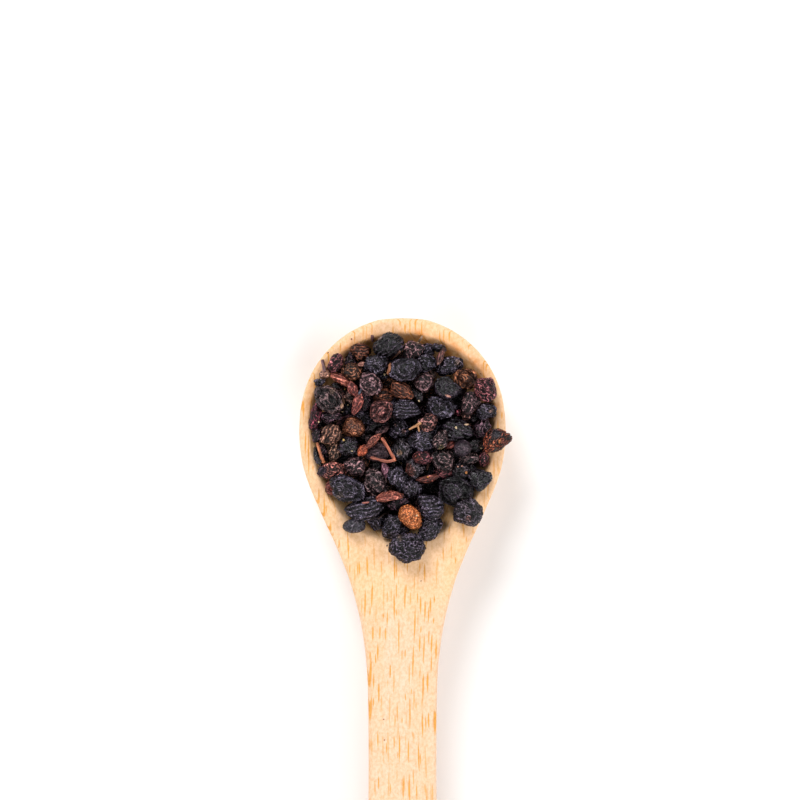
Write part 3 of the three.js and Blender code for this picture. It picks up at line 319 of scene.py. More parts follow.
BENT_STALK = [(-3.19, -0.91, 12.73), (-2.85, -1.46, 12.66), (-2.5, -2.01, 12.58), (-2.17, -2.57, 12.5), (-1.85, -3.14, 12.43), (-1.56, -3.71, 12.35), (-1.27, -4.29, 12.27), (-1.83, -4.49, 12.2), (-2.46, -4.57, 12.12), (-3.09, -4.42, 12.04), (-3.72, -4.27, 12.03), (-4.35, -4.11, 12.03), (-4.98, -3.94, 12.03)]
SHORT_STALK = [(-13.3, -1.69, 10.99), (-13.08, -2.43, 11.22), (-12.85, -3.17, 11.46), (-12.61, -3.91, 11.38), (-12.37, -4.64, 10.94)]
FORK_MAIN = [(1.09, 0.41, 12.53), (1.49, 0.65, 12.53), (1.9, 0.88, 12.53), (2.29, 1.14, 12.53), (2.69, 1.39, 13.23)]
FORK_BRANCH = [(2.41, 1.11, 12.53), (2.49, 0.78, 12.64), (2.56, 0.44, 12.65), (2.6, 0.1, 12.65)]

# How each kind of skin is folded and coloured. Colours are linear.
#   form, low colour, ridge colour, wrinkle pitch, wrinkle height, material
# the low colour, times a dark factor, is also the painted shade in the hollows; the ridge colour, times a light factor,
# is also the painted highlight on the crests
KINDS = {
    "black": ("net", (0.011, 0.010, 0.014), (0.078, 0.074, 0.096), 0.44, 0.115, "satin"),
    "blackgloss": ("net", (0.003, 0.003, 0.004), (0.027, 0.022, 0.031), 0.50, 0.16, "gloss"),
    "blackbrown": ("net", (0.014, 0.010, 0.011), (0.110, 0.078, 0.075), 0.48, 0.12, "satin"),
    "blackpebble": ("net", (0.005, 0.004, 0.006), (0.062, 0.056, 0.074), 0.42, 0.13, "satin"),
    "blackscar": ("net", (0.013, 0.012, 0.014), (0.070, 0.066, 0.074), 0.48, 0.10, "satin"),
    "blackpink": ("net", (0.014, 0.012, 0.015), (0.070, 0.063, 0.074), 0.45, 0.11, "satin"),
    "dark": ("net", (0.006, 0.005, 0.006), (0.026, 0.022, 0.026), 0.48, 0.10, "satin"),
    "smooth": ("smooth", (0.026, 0.020, 0.025), (0.060, 0.048, 0.055), 0.60, 0.03, "satin"),
    "smoothgrey": ("smooth", (0.026, 0.026, 0.032), (0.080, 0.080, 0.092), 0.34, 0.035, "satin"),
    "purple": ("net", (0.028, 0.017, 0.020), (0.150, 0.096, 0.095), 0.46, 0.075, "matt"),
    "purplesmooth": ("smooth", (0.034, 0.022, 0.026), (0.110, 0.075, 0.078), 0.50, 0.04, "matt"),
    "dkpurple": ("net", (0.018, 0.011, 0.016), (0.085, 0.052, 0.065), 0.45, 0.08, "satin"),
    "pinkpurple": ("slim", (0.16, 0.075, 0.10), (0.37, 0.20, 0.24), 0.40, 0.03, "matt"),
    "stalkpurple": ("slim", (0.060, 0.024, 0.030), (0.20, 0.09, 0.095), 0.40, 0.04, "matt"),
    "brown": ("net", (0.040, 0.018, 0.011), (0.17, 0.080, 0.042), 0.45, 0.09, "matt"),
    "brownorange": ("long", (0.034, 0.014, 0.010), (0.24, 0.095, 0.050), 0.45, 0.12, "matt"),
    "browngrey": ("net", (0.040, 0.026, 0.022), (0.17, 0.11, 0.085), 0.42, 0.08, "matt"),
    "pinkbrown": ("net", (0.070, 0.034, 0.030), (0.28, 0.16, 0.13), 0.40, 0.06, "matt"),
    "tan": ("long", (0.030, 0.014, 0.010), (0.30, 0.17, 0.11), 0.45, 0.15, "matt"),
    "olive": ("net", (0.034, 0.022, 0.015), (0.20, 0.125, 0.082), 0.45, 0.09, "matt"),
    "beige": ("smooth", (0.26, 0.14, 0.09), (0.52, 0.34, 0.23), 0.35, 0.05, "matt"),
    "flap": ("slim", (0.050, 0.022, 0.020), (0.17, 0.080, 0.065), 0.45, 0.04, "matt"),
    "maroonbrown": ("net", (0.034, 0.016, 0.015), (0.17, 0.085, 0.070), 0.42, 0.08, "matt"),
    "brownred": ("net", (0.050, 0.018, 0.016), (0.27, 0.11, 0.085), 0.42, 0.09, "matt"),
    "orange": ("net", (0.020, 0.007, 0.005), (0.15, 0.042, 0.020), 0.45, 0.11, "satin"),
    "cuporange": ("cup", (0.060, 0.024, 0.014), (0.36, 0.16, 0.075), 0.50, 0.08, "matt"),
    "orangesmooth": ("smooth", (0.075, 0.029, 0.016), (0.36, 0.16, 0.078), 0.40, 0.045, "satin"),
    "orangebright": ("smooth", (0.32, 0.095, 0.026), (0.66, 0.27, 0.090), 0.36, 0.045, "satin"),
    "salmon": ("slim", (0.17, 0.048, 0.032), (0.52, 0.20, 0.13), 0.38, 0.05, "matt"),
    "red": ("slim", (0.15, 0.042, 0.034), (0.40, 0.14, 0.105), 0.38, 0.05, "matt"),
    "crimson": ("net", (0.036, 0.009, 0.015), (0.16, 0.042, 0.056), 0.45, 0.08, "matt"),
    "maroon": ("net", (0.040, 0.013, 0.016), (0.22, 0.082, 0.085), 0.42, 0.085, "matt"),
    "flake": ("slim", (0.060, 0.018, 0.014), (0.24, 0.085, 0.060), 0.40, 0.05, "matt"),
    "redblack": ("net", (0.014, 0.012, 0.014), (0.075, 0.068, 0.076), 0.46, 0.09, "satin"),
    "cupmaroon": ("cup", (0.034, 0.014, 0.015), (0.23, 0.105, 0.090), 0.45, 0.08, "matt"),
}

# Patches of another colour: berry, centre x, y, radius, linear colour.
PATCHES = [
    (77, -6.28, -2.83, 0.94, (0.52, 0.12, 0.055)),
    (78, -5.02, -1.7, 1.09, (0.22, 0.075, 0.055)),
    (88, 0.86, -5.91, 1.02, (0.13, 0.045, 0.035)),
    (75, -12.7, -6.02, 0.78, (0.035, 0.033, 0.06)),
    (32, 6.1, 10.76, 0.56, (0.36, 0.2, 0.17)),
    (80, -0.43, -3.27, 0.41, (0.36, 0.22, 0.14)),
    (64, 10.29, -13.37, 0.41, (0.26, 0.13, 0.12)),
    (79, 0.16, 0.09, 0.34, (0.22, 0.11, 0.1)),
    (79, -1.09, 1.03, 0.25, (0.2, 0.1, 0.09)),
    (52, 14.6, -0.17, 0.7, (0.05, 0.055, 0.07)),
    (52, 15.07, -1.42, 0.28, (0.62, 0.2, 0.06)),
    (52, 15.85, -1.58, 0.55, (0.26, 0.065, 0.045)),
    (52, 13.82, -1.89, 0.37, (0.24, 0.075, 0.035)),
    (35, 11.12, 8.36, 0.86, (0.06, 0.035, 0.03)),
    (56, 6, -2.41, 0.47, (0.13, 0.1, 0.05)),
    (58, 2.39, -3.92, 0.62, (0.2, 0.05, 0.035)),
    (13, -10.88, 6.37, 0.47, (0.2, 0.13, 0.1)),
    (21, -3.76, 14.8, 0.47, (0.14, 0.09, 0.075)),
    (63, 9.56, -10.62, 0.39, (0.13, 0.1, 0.09)),
    (70, -11.84, -1.23, 0.47, (0.015, 0.01, 0.008)),
    (34, 8.57, 10.83, 0.47, (0.17, 0.11, 0.09)),
    (102, -0.43, -16.45, 0.47, (0.11, 0.08, 0.07)),
    (43, 13.8, 3.3, 0.37, (0.22, 0.13, 0.11)),
    (95, -9.79, -9.74, 0.47, (0.12, 0.09, 0.08)),
]


# Berries that dried into a mound inside a raised rim: berry, depth of the groove
# between them in mm, where the rim lies (1 is the outline), ripples on the mound.
RIMMED = {
    13: (0.34, 0.86, 1.6),
    63: (0.46, 0.88, 2.8),
    95: (0.26, 0.88, 2),
    35: (0.2, 0.9, 1.5),
    86: (0.2, 0.86, 2.4),
    59: (0.2, 0.86, 2),
    23: (0.16, 0.9, 1.8),
    40: (0.14, 0.9, 1.6),
    16: (0.16, 0.85, 2),
    39: (0.2, 0.85, 2.4),
    90: (0.14, 0.88, 1.6),
    26: (0.16, 0.84, 1.8),
}
# Strips of skin that curl up: strip, rise in mm, times as long, times as wide.
FULLER = {
    7: (1.9, 1.15, 1.25),
    9: (0.7, 1.3, 1.1),
    10: (0.9, 1.15, 1.1),
    77: (0.2, 1.1, 1.1),
    98: (0.3, 1.05, 1.05),
    103: (0, 0.97, 0.88),
    96: (0.2, 1.12, 1.25),
    97: (0, 1.1, 1.1),
    89: (0.4, 1.15, 1.1),
}
# Berries with deep side-by-side folds: berry, turn of the folds, spacing and depth in mm.
PLEATED = {
    21: (8, 0.6, 0.34),
    96: (8, 0.7, 0.2),
    49: (0, 0.66, 0.18),
    100: (35, 0.6, 0.16),
    31: (10, 0.55, 0.12),
    3: (10, 0.5, 0.16),
    30: (0, 0.5, 0.16),
    70: (20, 0.55, 0.18),
}


# ---------------------------------------------------------------------------
# number helpers
# ---------------------------------------------------------------------------


def hashed(ix, iy, iz, seed):
    """A repeatable 32-bit number for each lattice point."""
    h = (
        ix.astype(np.uint32) * np.uint32(0x8DA6B343)
        ^ iy.astype(np.uint32) * np.uint32(0xD8163841)
        ^ iz.astype(np.uint32) * np.uint32(0xCB1AB31F)
        ^ np.uint32((seed * 0x9E3779B1) & 0xFFFFFFFF)
    )
    h ^= h >> np.uint32(15)
    h *= np.uint32(0x2C1B3C6D)
    h ^= h >> np.uint32(12)
    h *= np.uint32(0x297A2D39)
    h ^= h >> np.uint32(15)
    return h


GRAD = np.array(
    [[1, 1, 0], [-1, 1, 0], [1, -1, 0], [-1, -1, 0], [1, 0, 1], [-1, 0, 1], [1, 0, -1], [-1, 0, -1],
     [0, 1, 1], [0, -1, 1], [0, 1, -1], [0, -1, -1], [1, 1, 0], [-1, 1, 0], [0, -1, 1], [0, -1, -1]],
    float,
)


def noise(p, seed=0):
    """Smooth noise from about -1 to 1 at the points p."""
    i = np.floor(p).astype(np.int64)
    f = p - i
    u = f * f * f * (f * (f * 6 - 15) + 10)
    out = np.zeros(len(p))
    for dx in (0, 1):
        for dy in (0, 1):
            for dz in (0, 1):
                g = GRAD[hashed(i[:, 0] + dx, i[:, 1] + dy, i[:, 2] + dz, seed) & np.uint32(15)]
                d = f - np.array([dx, dy, dz])
                w = (
                    (u[:, 0] if dx else 1 - u[:, 0])
                    * (u[:, 1] if dy else 1 - u[:, 1])
                    * (u[:, 2] if dz else 1 - u[:, 2])
                )
                out += w * (g * d).sum(1)
    return out * 1.25


def smooth_step(t):
    t = np.clip(t, 0, 1)
    return t * t * (3 - 2 * t)


def smooth_min(a, b, k):
    h = np.maximum(k - np.abs(a - b), 0) / k
    return np.minimum(a, b) - h * h * k / 4


def curve_through(xs, ys):
    """A smooth curve through the points, flat at its two ends."""
    xs, ys = np.array(xs, float), np.array(ys, float)
    h = np.diff(xs)
    d = np.diff(ys) / h
    m = np.zeros(len(xs))
    m[1:-1] = (d[:-1] * h[1:] + d[1:] * h[:-1]) / (h[:-1] + h[1:])

    def at(x):
        x = np.asarray(x, float)
        i = np.clip(np.searchsorted(xs, x) - 1, 0, len(xs) - 2)
        t = np.clip((x - xs[i]) / h[i], 0, 1)
        u = 1 - t
        return (
            (1 + 2 * t) * u * u * ys[i] + t * u * u * h[i] * m[i]
            + t * t * (3 - 2 * t) * ys[i + 1] + t * t * (t - 1) * h[i] * m[i + 1]
        )

    return at


hollow_radius = curve_through([math.radians(a) for a, r in HOLLOW], [r for a, r in HOLLOW])
bulge_radius = curve_through([math.radians(a) for a, r in BULGE], [r for a, r in BULGE])


def hollow_share(x, y):
    """0 in the middle of the hollow, 1 at its edge."""
    return np.hypot(x, y) / hollow_radius(np.arctan2(y, np.abs(x)))


def top_plane(y):
    return HANDLE_THICKNESS + (RIM_HEIGHT - HANDLE_THICKNESS) * smooth_step((y - HANDLE_END_Y) / (-14 - HANDLE_END_Y))


def top_height(x, y, soft=0.32):
    arc = (BOWL_HALF_WIDTH**2 + BOWL_DEPTH**2) / (2 * BOWL_DEPTH)
    q = hollow_share(x, y)
    w = BOWL_HALF_WIDTH * np.minimum(q, 1.19)
    hollow = RIM_HEIGHT - (np.sqrt(arc**2 - w * w) - (arc - BOWL_DEPTH)) + np.maximum(q - 1.19, 0) * 30
    return smooth_min(top_plane(y), hollow, soft)


def bottom_height(x, y):
    a = np.arctan2(y, np.abs(x))
    p = np.hypot(x, y) / bulge_radius(a)
    power = 0.5 + 0.75 * smooth_step((-np.sin(a) - 0.25) / 0.7)
    belly = RIM_HEIGHT - RIM_THICKNESS - BELLY_DEPTH * np.power(np.clip(1 - p * p, 0, 1), power)
    plate = top_plane(y) - (RIM_THICKNESS + (HANDLE_THICKNESS - RIM_THICKNESS) * smooth_step((-3 - y) / 22))
    low = smooth_min(belly, plate, 1.2)
    return np.maximum(0, -smooth_min(-low, 0 * low, 0.35))


# ---------------------------------------------------------------------------
# mesh helpers
# ---------------------------------------------------------------------------


def mesh_object(name, verts, faces, materials, index=None, floats=None, colours=None):
    """A smooth-shaded object in metres from millimetre vertices."""
    mesh = bpy.data.meshes.new(name)
    mesh.from_pydata((np.asarray(verts) * MM).tolist(), [], faces.tolist() if hasattr(faces, "tolist") else faces)
    for m in materials:
        mesh.materials.append(m)
    mesh.polygons.foreach_set("use_smooth", [True] * len(mesh.polygons))
    if index is not None:
        mesh.polygons.foreach_set("material_index", np.asarray(index, np.int32))
    for key, values in (floats or {}).items():
        mesh.attributes.new(key, "FLOAT", "POINT").data.foreach_set("value", np.asarray(values, np.float32))
    for key, values in (colours or {}).items():
        rgba = np.ones((len(verts), 4), np.float32)
        rgba[:, :3] = values
        mesh.attributes.new(key, "FLOAT_COLOR", "POINT").data.foreach_set("color", rgba.ravel())
    mesh.validate()
    mesh.update()
    o = bpy.data.objects.new(name, mesh)
    bpy.context.scene.collection.objects.link(o)
    return o


def unit_ball(parts):
    """An evenly meshed unit ball: an icosahedron with each edge cut in parts."""
    g = (1 + math.sqrt(5)) / 2
    v = np.array([[-1, g, 0], [1, g, 0], [-1, -g, 0], [1, -g, 0], [0, -1, g], [0, 1, g], [0, -1, -g], [0, 1, -g],
                  [g, 0, -1], [g, 0, 1], [-g, 0, -1], [-g, 0, 1]], float)
    t = [[0, 11, 5], [0, 5, 1], [0, 1, 7], [0, 7, 10], [0, 10, 11], [1, 5, 9], [5, 11, 4], [11, 10, 2], [10, 7, 6],
         [7, 1, 8], [3, 9, 4], [3, 4, 2], [3, 2, 6], [3, 6, 8], [3, 8, 9], [4, 9, 5], [2, 4, 11], [6, 2, 10], [8, 6, 7],
         [9, 8, 1]]
    points, faces = [], []
    for a, b, c in t:
        at = {}
        for i in range(parts + 1):
            for j in range(parts + 1 - i):
                at[i, j] = len(points)
                points.append((v[a] * (parts - i - j) + v[b] * i + v[c] * j) / parts)
        for i in range(parts):
            for j in range(parts - i):
                faces.append([at[i, j], at[i + 1, j], at[i, j + 1]])
                if j < parts - i - 1:
                    faces.append([at[i + 1, j], at[i + 1, j + 1], at[i, j + 1]])
    points = np.array(points)
    points /= np.linalg.norm(points, axis=1, keepdims=True)
    _, first, back = np.unique(np.round(points, 6), axis=0, return_index=True, return_inverse=True)
    return points[first], back.reshape(-1)[np.array(faces)]


BALLS = {}


def ball(parts):
    if parts not in BALLS:
        BALLS[parts] = unit_ball(parts)
    return BALLS[parts]



def tube(points, radius, sides=10, taper=(0.6, 0.6), seed=0, rough=0.12, per=0.16):
    """A knobbly stick along a line of points, with rounded ends."""
    p = np.array(points, float)
    t = np.r_[0, np.cumsum(np.linalg.norm(np.diff(p, axis=0), axis=1))]
    n = max(6, int(t[-1] / per))
    s = np.linspace(0, t[-1], n)
    c = np.stack([np.interp(s, t, p[:, k]) for k in range(3)], 1)
    for _ in range(3):
        c[1:-1] = (c[:-2] + 2 * c[1:-1] + c[2:]) / 4
    d = np.gradient(c, axis=0)
    d /= np.linalg.norm(d, axis=1, keepdims=True)
    up = np.array([0, 0, 1.0])
    side = np.cross(d, up)
    side /= np.maximum(np.linalg.norm(side, axis=1, keepdims=True), 1e-6)
    over = np.cross(side, d)
    u = s / t[-1]
    width = radius * (1 - (1 - taper[0]) * (1 - smooth_step(u / 0.15)) - (1 - taper[1]) * smooth_step((u - 0.85) / 0.15))
    ang = np.linspace(0, 2 * math.pi, sides, endpoint=False)
    verts, ridge = [], []
    for i in range(n):
        ring = np.cos(ang)[:, None] * side[i] + np.sin(ang)[:, None] * over[i]
        q = np.c_[np.cos(ang) * 1.6, np.sin(ang) * 1.6, np.full(sides, s[i] * 0.9)]
        k = noise(q + 7.1 * seed, seed)
        verts.append(c[i] + ring * (width[i] * (1 + rough * 2.2 * k))[:, None])
        ridge.append(0.5 + 0.5 * k)
    verts = [v for r in verts for v in r]
    ridge = [v for r in ridge for v in r]
    faces = []
    for i in range(n - 1):
        for k in range(sides):
            a, b = i * sides + k, i * sides + (k + 1) % sides
            faces.append([a, b, b + sides, a + sides])
    for end, first in ((0, 0), (n - 1, (n - 1) * sides)):
        tip = len(verts)
        verts.append(c[end] + d[end] * (-1 if end == 0 else 1) * width[end] * 0.5)
        ridge.append(0.6)
        for k in range(sides):
            a, b = first + k, first + (k + 1) % sides
            faces.append([b, a, tip] if end == 0 else [a, b, tip])
    return np.array(verts), faces, np.array(ridge)


# ---------------------------------------------------------------------------
# materials
# ---------------------------------------------------------------------------


def new_material(name):
    m = bpy.data.materials.new(name)
    m.use_nodes = True
    nt = m.node_tree
    nt.nodes.clear()
    out = nt.nodes.new("ShaderNodeOutputMaterial")
    bsdf = nt.nodes.new("ShaderNodeBsdfPrincipled")
    nt.links.new(bsdf.outputs["BSDF"], out.inputs["Surface"])
    return m, nt, bsdf


def node(nt, kind, inputs=None, **props):
    n = nt.nodes.new(kind)
    for k, v in props.items():
        setattr(n, k, v)
    for k, v in (inputs or {}).items():
        if isinstance(v, bpy.types.NodeSocket):
            nt.links.new(v, n.inputs[k])
        else:
            n.inputs[k].default_value = v
    return n


def ramp(nt, fac, stops):
    n = nt.nodes.new("ShaderNodeValToRGB")
    e = n.color_ramp.elements
    while len(e) < len(stops):
        e.new(0.5)
    for i, (pos, col) in enumerate(stops):
        e[i].position = pos
        e[i].color = col if len(col) == 4 else (*col, 1)
    nt.links.new(fac, n.inputs["Fac"])
    return n.outputs["Color"]


def mix(nt, fac, a, b, blend="MIX"):
    n = nt.nodes.new("ShaderNodeMix")
    n.data_type = "RGBA"
    n.blend_type = blend
    for sock, v in ((n.inputs[0], fac), (n.inputs[6], a), (n.inputs[7], b)):
        if isinstance(v, bpy.types.NodeSocket):
            nt.links.new(v, sock)
        elif isinstance(v, (tuple, list)):
            sock.default_value = v if len(v) == 4 else (*v, 1)
        else:
            sock.default_value = v
    return n.outputs[2]


def maths(nt, op, a, b=None, c=None, clamp=False):
    n = nt.nodes.new("ShaderNodeMath")
    n.operation = op
    n.use_clamp = clamp
    for i, v in enumerate((a, b, c)):
        if v is None:
            continue
        if isinstance(v, bpy.types.NodeSocket):
            nt.links.new(v, n.inputs[i])
        else:
            n.inputs[i].default_value = v
    return n.outputs[0]


def to_range(nt, v, a, b, c, d):
    n = node(nt, "ShaderNodeMapRange", {"Value": v, "From Min": a, "From Max": b, "To Min": c, "To Max": d})
    return n.outputs["Result"]


def object_point(nt, scale):
    """The object's own coordinates in millimetres, times scale."""
    tc = nt.nodes.new("ShaderNodeTexCoord")
    m = node(nt, "ShaderNodeMapping", {"Vector": tc.outputs["Object"], "Scale": tuple(1000 * s for s in scale)})
    return m.outputs["Vector"]


def tex_noise(nt, vec, detail=2.0, rough=0.5, distortion=0.0):
    n = node(nt, "ShaderNodeTexNoise", {"Vector": vec, "Scale": 1.0, "Detail": detail, "Roughness": rough, "Distortion": distortion})
    return n.outputs["Fac"]


def skin_material(name, rough, coat, spec, depth):
    """Dried berry skin: the big folds and the tone are on the mesh, the small
    wrinkles, with pits between thin raised lines, and the grain are here. The pits
    are painted dark as painted shade, and the thin lines and the raised grains
    painted light as painted highlight."""
    m, nt, bsdf = new_material(name)
    tone = node(nt, "ShaderNodeAttribute", attribute_name="tone").outputs["Color"]
    ridge = node(nt, "ShaderNodeAttribute", attribute_name="ridge").outputs["Fac"]
    net = node(nt, "ShaderNodeAttribute", attribute_name="net").outputs["Fac"]
    fine = tex_noise(nt, object_point(nt, (3.6, 3.6, 3.6)), 2.0, 0.6)
    patch = tex_noise(nt, object_point(nt, (0.9, 0.9, 0.9)), 2.0, 0.5)
    speck = tex_noise(nt, object_point(nt, (4.2, 4.2, 4.2)), 1.0, 0.5)
    crinkle = tex_noise(nt, object_point(nt, (2.4, 2.4, 2.4)), 1.0, 0.45, 0.5)
    line = to_range(nt, maths(nt, "ABSOLUTE", maths(nt, "SUBTRACT", crinkle, 0.5)), 0.01, 0.10, 1.0, 0.0)
    line = maths(nt, "MULTIPLY", line, net)
    # painted shade in the pits and painted highlight on the thin raised lines
    pit_shade = maths(nt, "SUBTRACT", 1.0, maths(nt, "MULTIPLY", net, 0.74))
    pit_shade_and_line_highlight = maths(nt, "ADD", pit_shade, maths(nt, "MULTIPLY", line, 1.65))
    # random grain, painted lighter on its raised grains as painted glints
    grain = mix(nt, 1.0, tone, ramp(nt, fine, [(0.34, (0.26, 0.26, 0.28)), (0.66, (1.95, 1.9, 1.86))]), "MULTIPLY")
    worn = mix(nt, 1.0, grain, ramp(nt, patch, [(0.3, (0.82, 0.84, 0.9)), (0.7, (1.2, 1.12, 1.06))]), "MULTIPLY")
    scaled = node(nt, "ShaderNodeVectorMath", {0: worn, "Scale": pit_shade_and_line_highlight}, operation="SCALE").outputs[0]
    dust = maths(nt, "MULTIPLY", to_range(nt, speck, 0.66, 0.74, 0.0, 1.0), maths(nt, "MULTIPLY", ridge, 0.35))
    nt.links.new(mix(nt, dust, scaled, (0.28, 0.19, 0.16)), bsdf.inputs["Base Color"])
    r = maths(nt, "ADD", rough - 0.08, maths(nt, "MULTIPLY", fine, 0.16), clamp=True)
    nt.links.new(r, bsdf.inputs["Roughness"])
    bsdf.inputs["Specular IOR Level"].default_value = spec
    bsdf.inputs["Coat Weight"].default_value = coat
    bsdf.inputs["Coat Roughness"].default_value = 0.085
    high = maths(nt, "ADD", maths(nt, "MULTIPLY", line, 0.30), maths(nt, "MULTIPLY", fine, 1.1))
    b1 = node(nt, "ShaderNodeBump", {"Height": high, "Strength": 0.9, "Distance": depth})
    nt.links.new(b1.outputs["Normal"], bsdf.inputs["Normal"])
    return m


SKINS = {
    "satin": skin_material("skin_satin", 0.23, 0.0, 0.24, 0.00013),
    "gloss": skin_material("skin_gloss", 0.16, 0.45, 0.22, 0.00024),
    "matt": skin_material("skin_matt", 0.33, 0.0, 0.20, 0.00012),
}


def stalk_material():
    m, nt, bsdf = new_material("dry_stalk")
    tone = node(nt, "ShaderNodeAttribute", attribute_name="tone").outputs["Color"]
    ridge = node(nt, "ShaderNodeAttribute", attribute_name="ridge").outputs["Fac"]
    fibre = tex_noise(nt, object_point(nt, (9.0, 9.0, 9.0)), 3.0, 0.65)
    c = mix(nt, 1.0, tone, ramp(nt, fibre, [(0.25, (0.55, 0.5, 0.48)), (0.75, (1.4, 1.32, 1.25))]), "MULTIPLY")
    c = mix(nt, 1.0, c, ramp(nt, ridge, [(0.2, (0.7, 0.66, 0.64)), (0.8, (1.2, 1.2, 1.2))]), "MULTIPLY")
    nt.links.new(c, bsdf.inputs["Base Color"])
    nt.links.new(to_range(nt, fibre, 0.3, 0.7, 0.6, 0.78), bsdf.inputs["Roughness"])
    b = node(nt, "ShaderNodeBump", {"Height": fibre, "Strength": 0.5, "Distance": 0.00006})
    nt.links.new(b.outputs["Normal"], bsdf.inputs["Normal"])
    return m


def vessels(nt, across, along, half, share, seed):
    """Short straight vessel lines, each in its own cell of the grain: how wide
    and long the cells are, half a line's width, and how many cells hold one."""
    p = node(nt, "ShaderNodeSeparateXYZ", {"Vector": object_point(nt, (1, 1, 1))}).outputs
    bend = tex_noise(nt, object_point(nt, (0.12, 0.03, 0.12)), 1.0, 0.5)
    depth = node(nt, "ShaderNodeAttribute", attribute_name="depth").outputs["Fac"]
    aside = maths(nt, "MULTIPLY", maths(nt, "SIGN", p["X"]), maths(nt, "MULTIPLY", depth, 0.95))
    x = maths(nt, "ADD", maths(nt, "ADD", p["X"], aside), maths(nt, "MULTIPLY", bend, 2.2))
    x = maths(nt, "MULTIPLY_ADD", x, 1 / across, seed)
    col, fx = maths(nt, "FLOOR", x), maths(nt, "FRACT", x)
    shift = node(nt, "ShaderNodeTexWhiteNoise", {"W": col}, noise_dimensions="1D").outputs["Value"]
    y = maths(nt, "MULTIPLY_ADD", shift, 7.3, maths(nt, "MULTIPLY", p["Y"], 1 / along))
    row, fy = maths(nt, "FLOOR", y), maths(nt, "FRACT", y)
    cell = node(nt, "ShaderNodeCombineXYZ", {"X": col, "Y": row, "Z": seed}).outputs[0]
    own = node(nt, "ShaderNodeTexWhiteNoise", {"Vector": cell}, noise_dimensions="3D").outputs["Color"]
    own = node(nt, "ShaderNodeSeparateColor", {"Color": own}).outputs
    off = maths(nt, "MULTIPLY_ADD", own["Red"], 0.6, 0.2)
    dx = maths(nt, "MULTIPLY", maths(nt, "ABSOLUTE", maths(nt, "SUBTRACT", fx, off)), across)
    dy = maths(nt, "MULTIPLY", maths(nt, "ABSOLUTE", maths(nt, "SUBTRACT", fy, 0.5)), 2.0)
    dy = maths(nt, "DIVIDE", dy, maths(nt, "MULTIPLY_ADD", own["Green"], 0.7, 0.28))
    wide = maths(nt, "MULTIPLY", maths(nt, "SUBTRACT", 1.0, maths(nt, "MULTIPLY", dy, dy)), half)
    line = to_range(nt, maths(nt, "SUBTRACT", wide, dx), -0.02, 0.05, 0.0, 1.0)
    return maths(nt, "MULTIPLY", line, to_range(nt, own["Blue"], 1 - share, 1 - 0.55 * share, 0.35, 1.0), clamp=True), own["Blue"]


def wood_material():
    """Pale close-grained wood: short vessel lines along the spoon, soft bands,
    end grain where the bowl cuts across it, a berry stain by the hollow's edge,
    and painted shade: near black on the wood under the heap."""
    m, nt, bsdf = new_material("pale_wood")
    stain = node(nt, "ShaderNodeAttribute", attribute_name="stain").outputs["Fac"]
    hollow = node(nt, "ShaderNodeAttribute", attribute_name="hollow").outputs["Fac"]
    band = tex_noise(nt, object_point(nt, (0.28, 0.012, 0.28)), 3.0, 0.55, 0.3)
    fibre = tex_noise(nt, object_point(nt, (3.4, 0.10, 3.4)), 3.0, 0.6)
    fleck = tex_noise(nt, object_point(nt, (5.0, 1.6, 5.0)), 1.0, 0.5)
    base = mix(nt, to_range(nt, band, 0.35, 0.65, 0.0, 1.0), WOOD_PALE, WOOD_WARM)
    base = mix(nt, maths(nt, "MULTIPLY", to_range(nt, fibre, 0.45, 0.72, 0.0, 1.0), 0.42), base, WOOD_FIBRE)
    dash = None
    for across, along, half, share, seed in ((0.86, 6.0, 0.135, 0.58, 11.0), (0.62, 3.4, 0.10, 0.34, 37.0)):
        line, pick = vessels(nt, across, along, half, share, seed)
        line = maths(nt, "MULTIPLY", line, maths(nt, "GREATER_THAN", pick, 1 - share))
        dash = line if dash is None else maths(nt, "MAXIMUM", dash, line)
    base = mix(nt, maths(nt, "MULTIPLY", to_range(nt, fleck, 0.66, 0.76, 0.0, 1.0), 0.35), base, WOOD_FLECK)
    base = mix(nt, maths(nt, "MULTIPLY", hollow, 0.7), base, WOOD_HOLLOW)
    base = mix(nt, dash, base, WOOD_DASH)
    mottle = tex_noise(nt, object_point(nt, (2.6, 1.7, 2.6)), 2.0, 0.65)
    base = mix(nt, 1.0, base, ramp(nt, mottle, [(0.34, (0.91, 0.86, 0.75)), (0.66, (1.07, 1.10, 1.17))]), "MULTIPLY")
    patchy = tex_noise(nt, object_point(nt, (0.9, 0.9, 0.9)), 3.0, 0.6)
    st = maths(nt, "MULTIPLY", stain, to_range(nt, patchy, 0.35, 0.62, 0.25, 1.0))
    base = mix(nt, st, base, WOOD_STAIN)
    # painted shade: the wood under the heap, where the berries shade it, is painted near black
    heap_shade = node(nt, "ShaderNodeAttribute", attribute_name="heap_shade").outputs["Fac"]
    base = mix(nt, maths(nt, "MULTIPLY", heap_shade, to_range(nt, patchy, 0.3, 0.7, 0.8, 1.0)), base, WOOD_HEAP_SHADE)
    nt.links.new(base, bsdf.inputs["Base Color"])
    rough = maths(nt, "ADD", to_range(nt, fibre, 0.3, 0.7, 0.5, 0.62), maths(nt, "MULTIPLY", dash, 0.1))
    nt.links.new(rough, bsdf.inputs["Roughness"])
    bsdf.inputs["Specular IOR Level"].default_value = 0.35
    pores = maths(nt, "SUBTRACT", maths(nt, "MULTIPLY", fibre, 0.35), maths(nt, "MULTIPLY", dash, 0.9))
    b = node(nt, "ShaderNodeBump", {"Height": pores, "Strength": 0.55, "Distance": 0.00006})
    nt.links.new(b.outputs["Normal"], bsdf.inputs["Normal"])
    return m


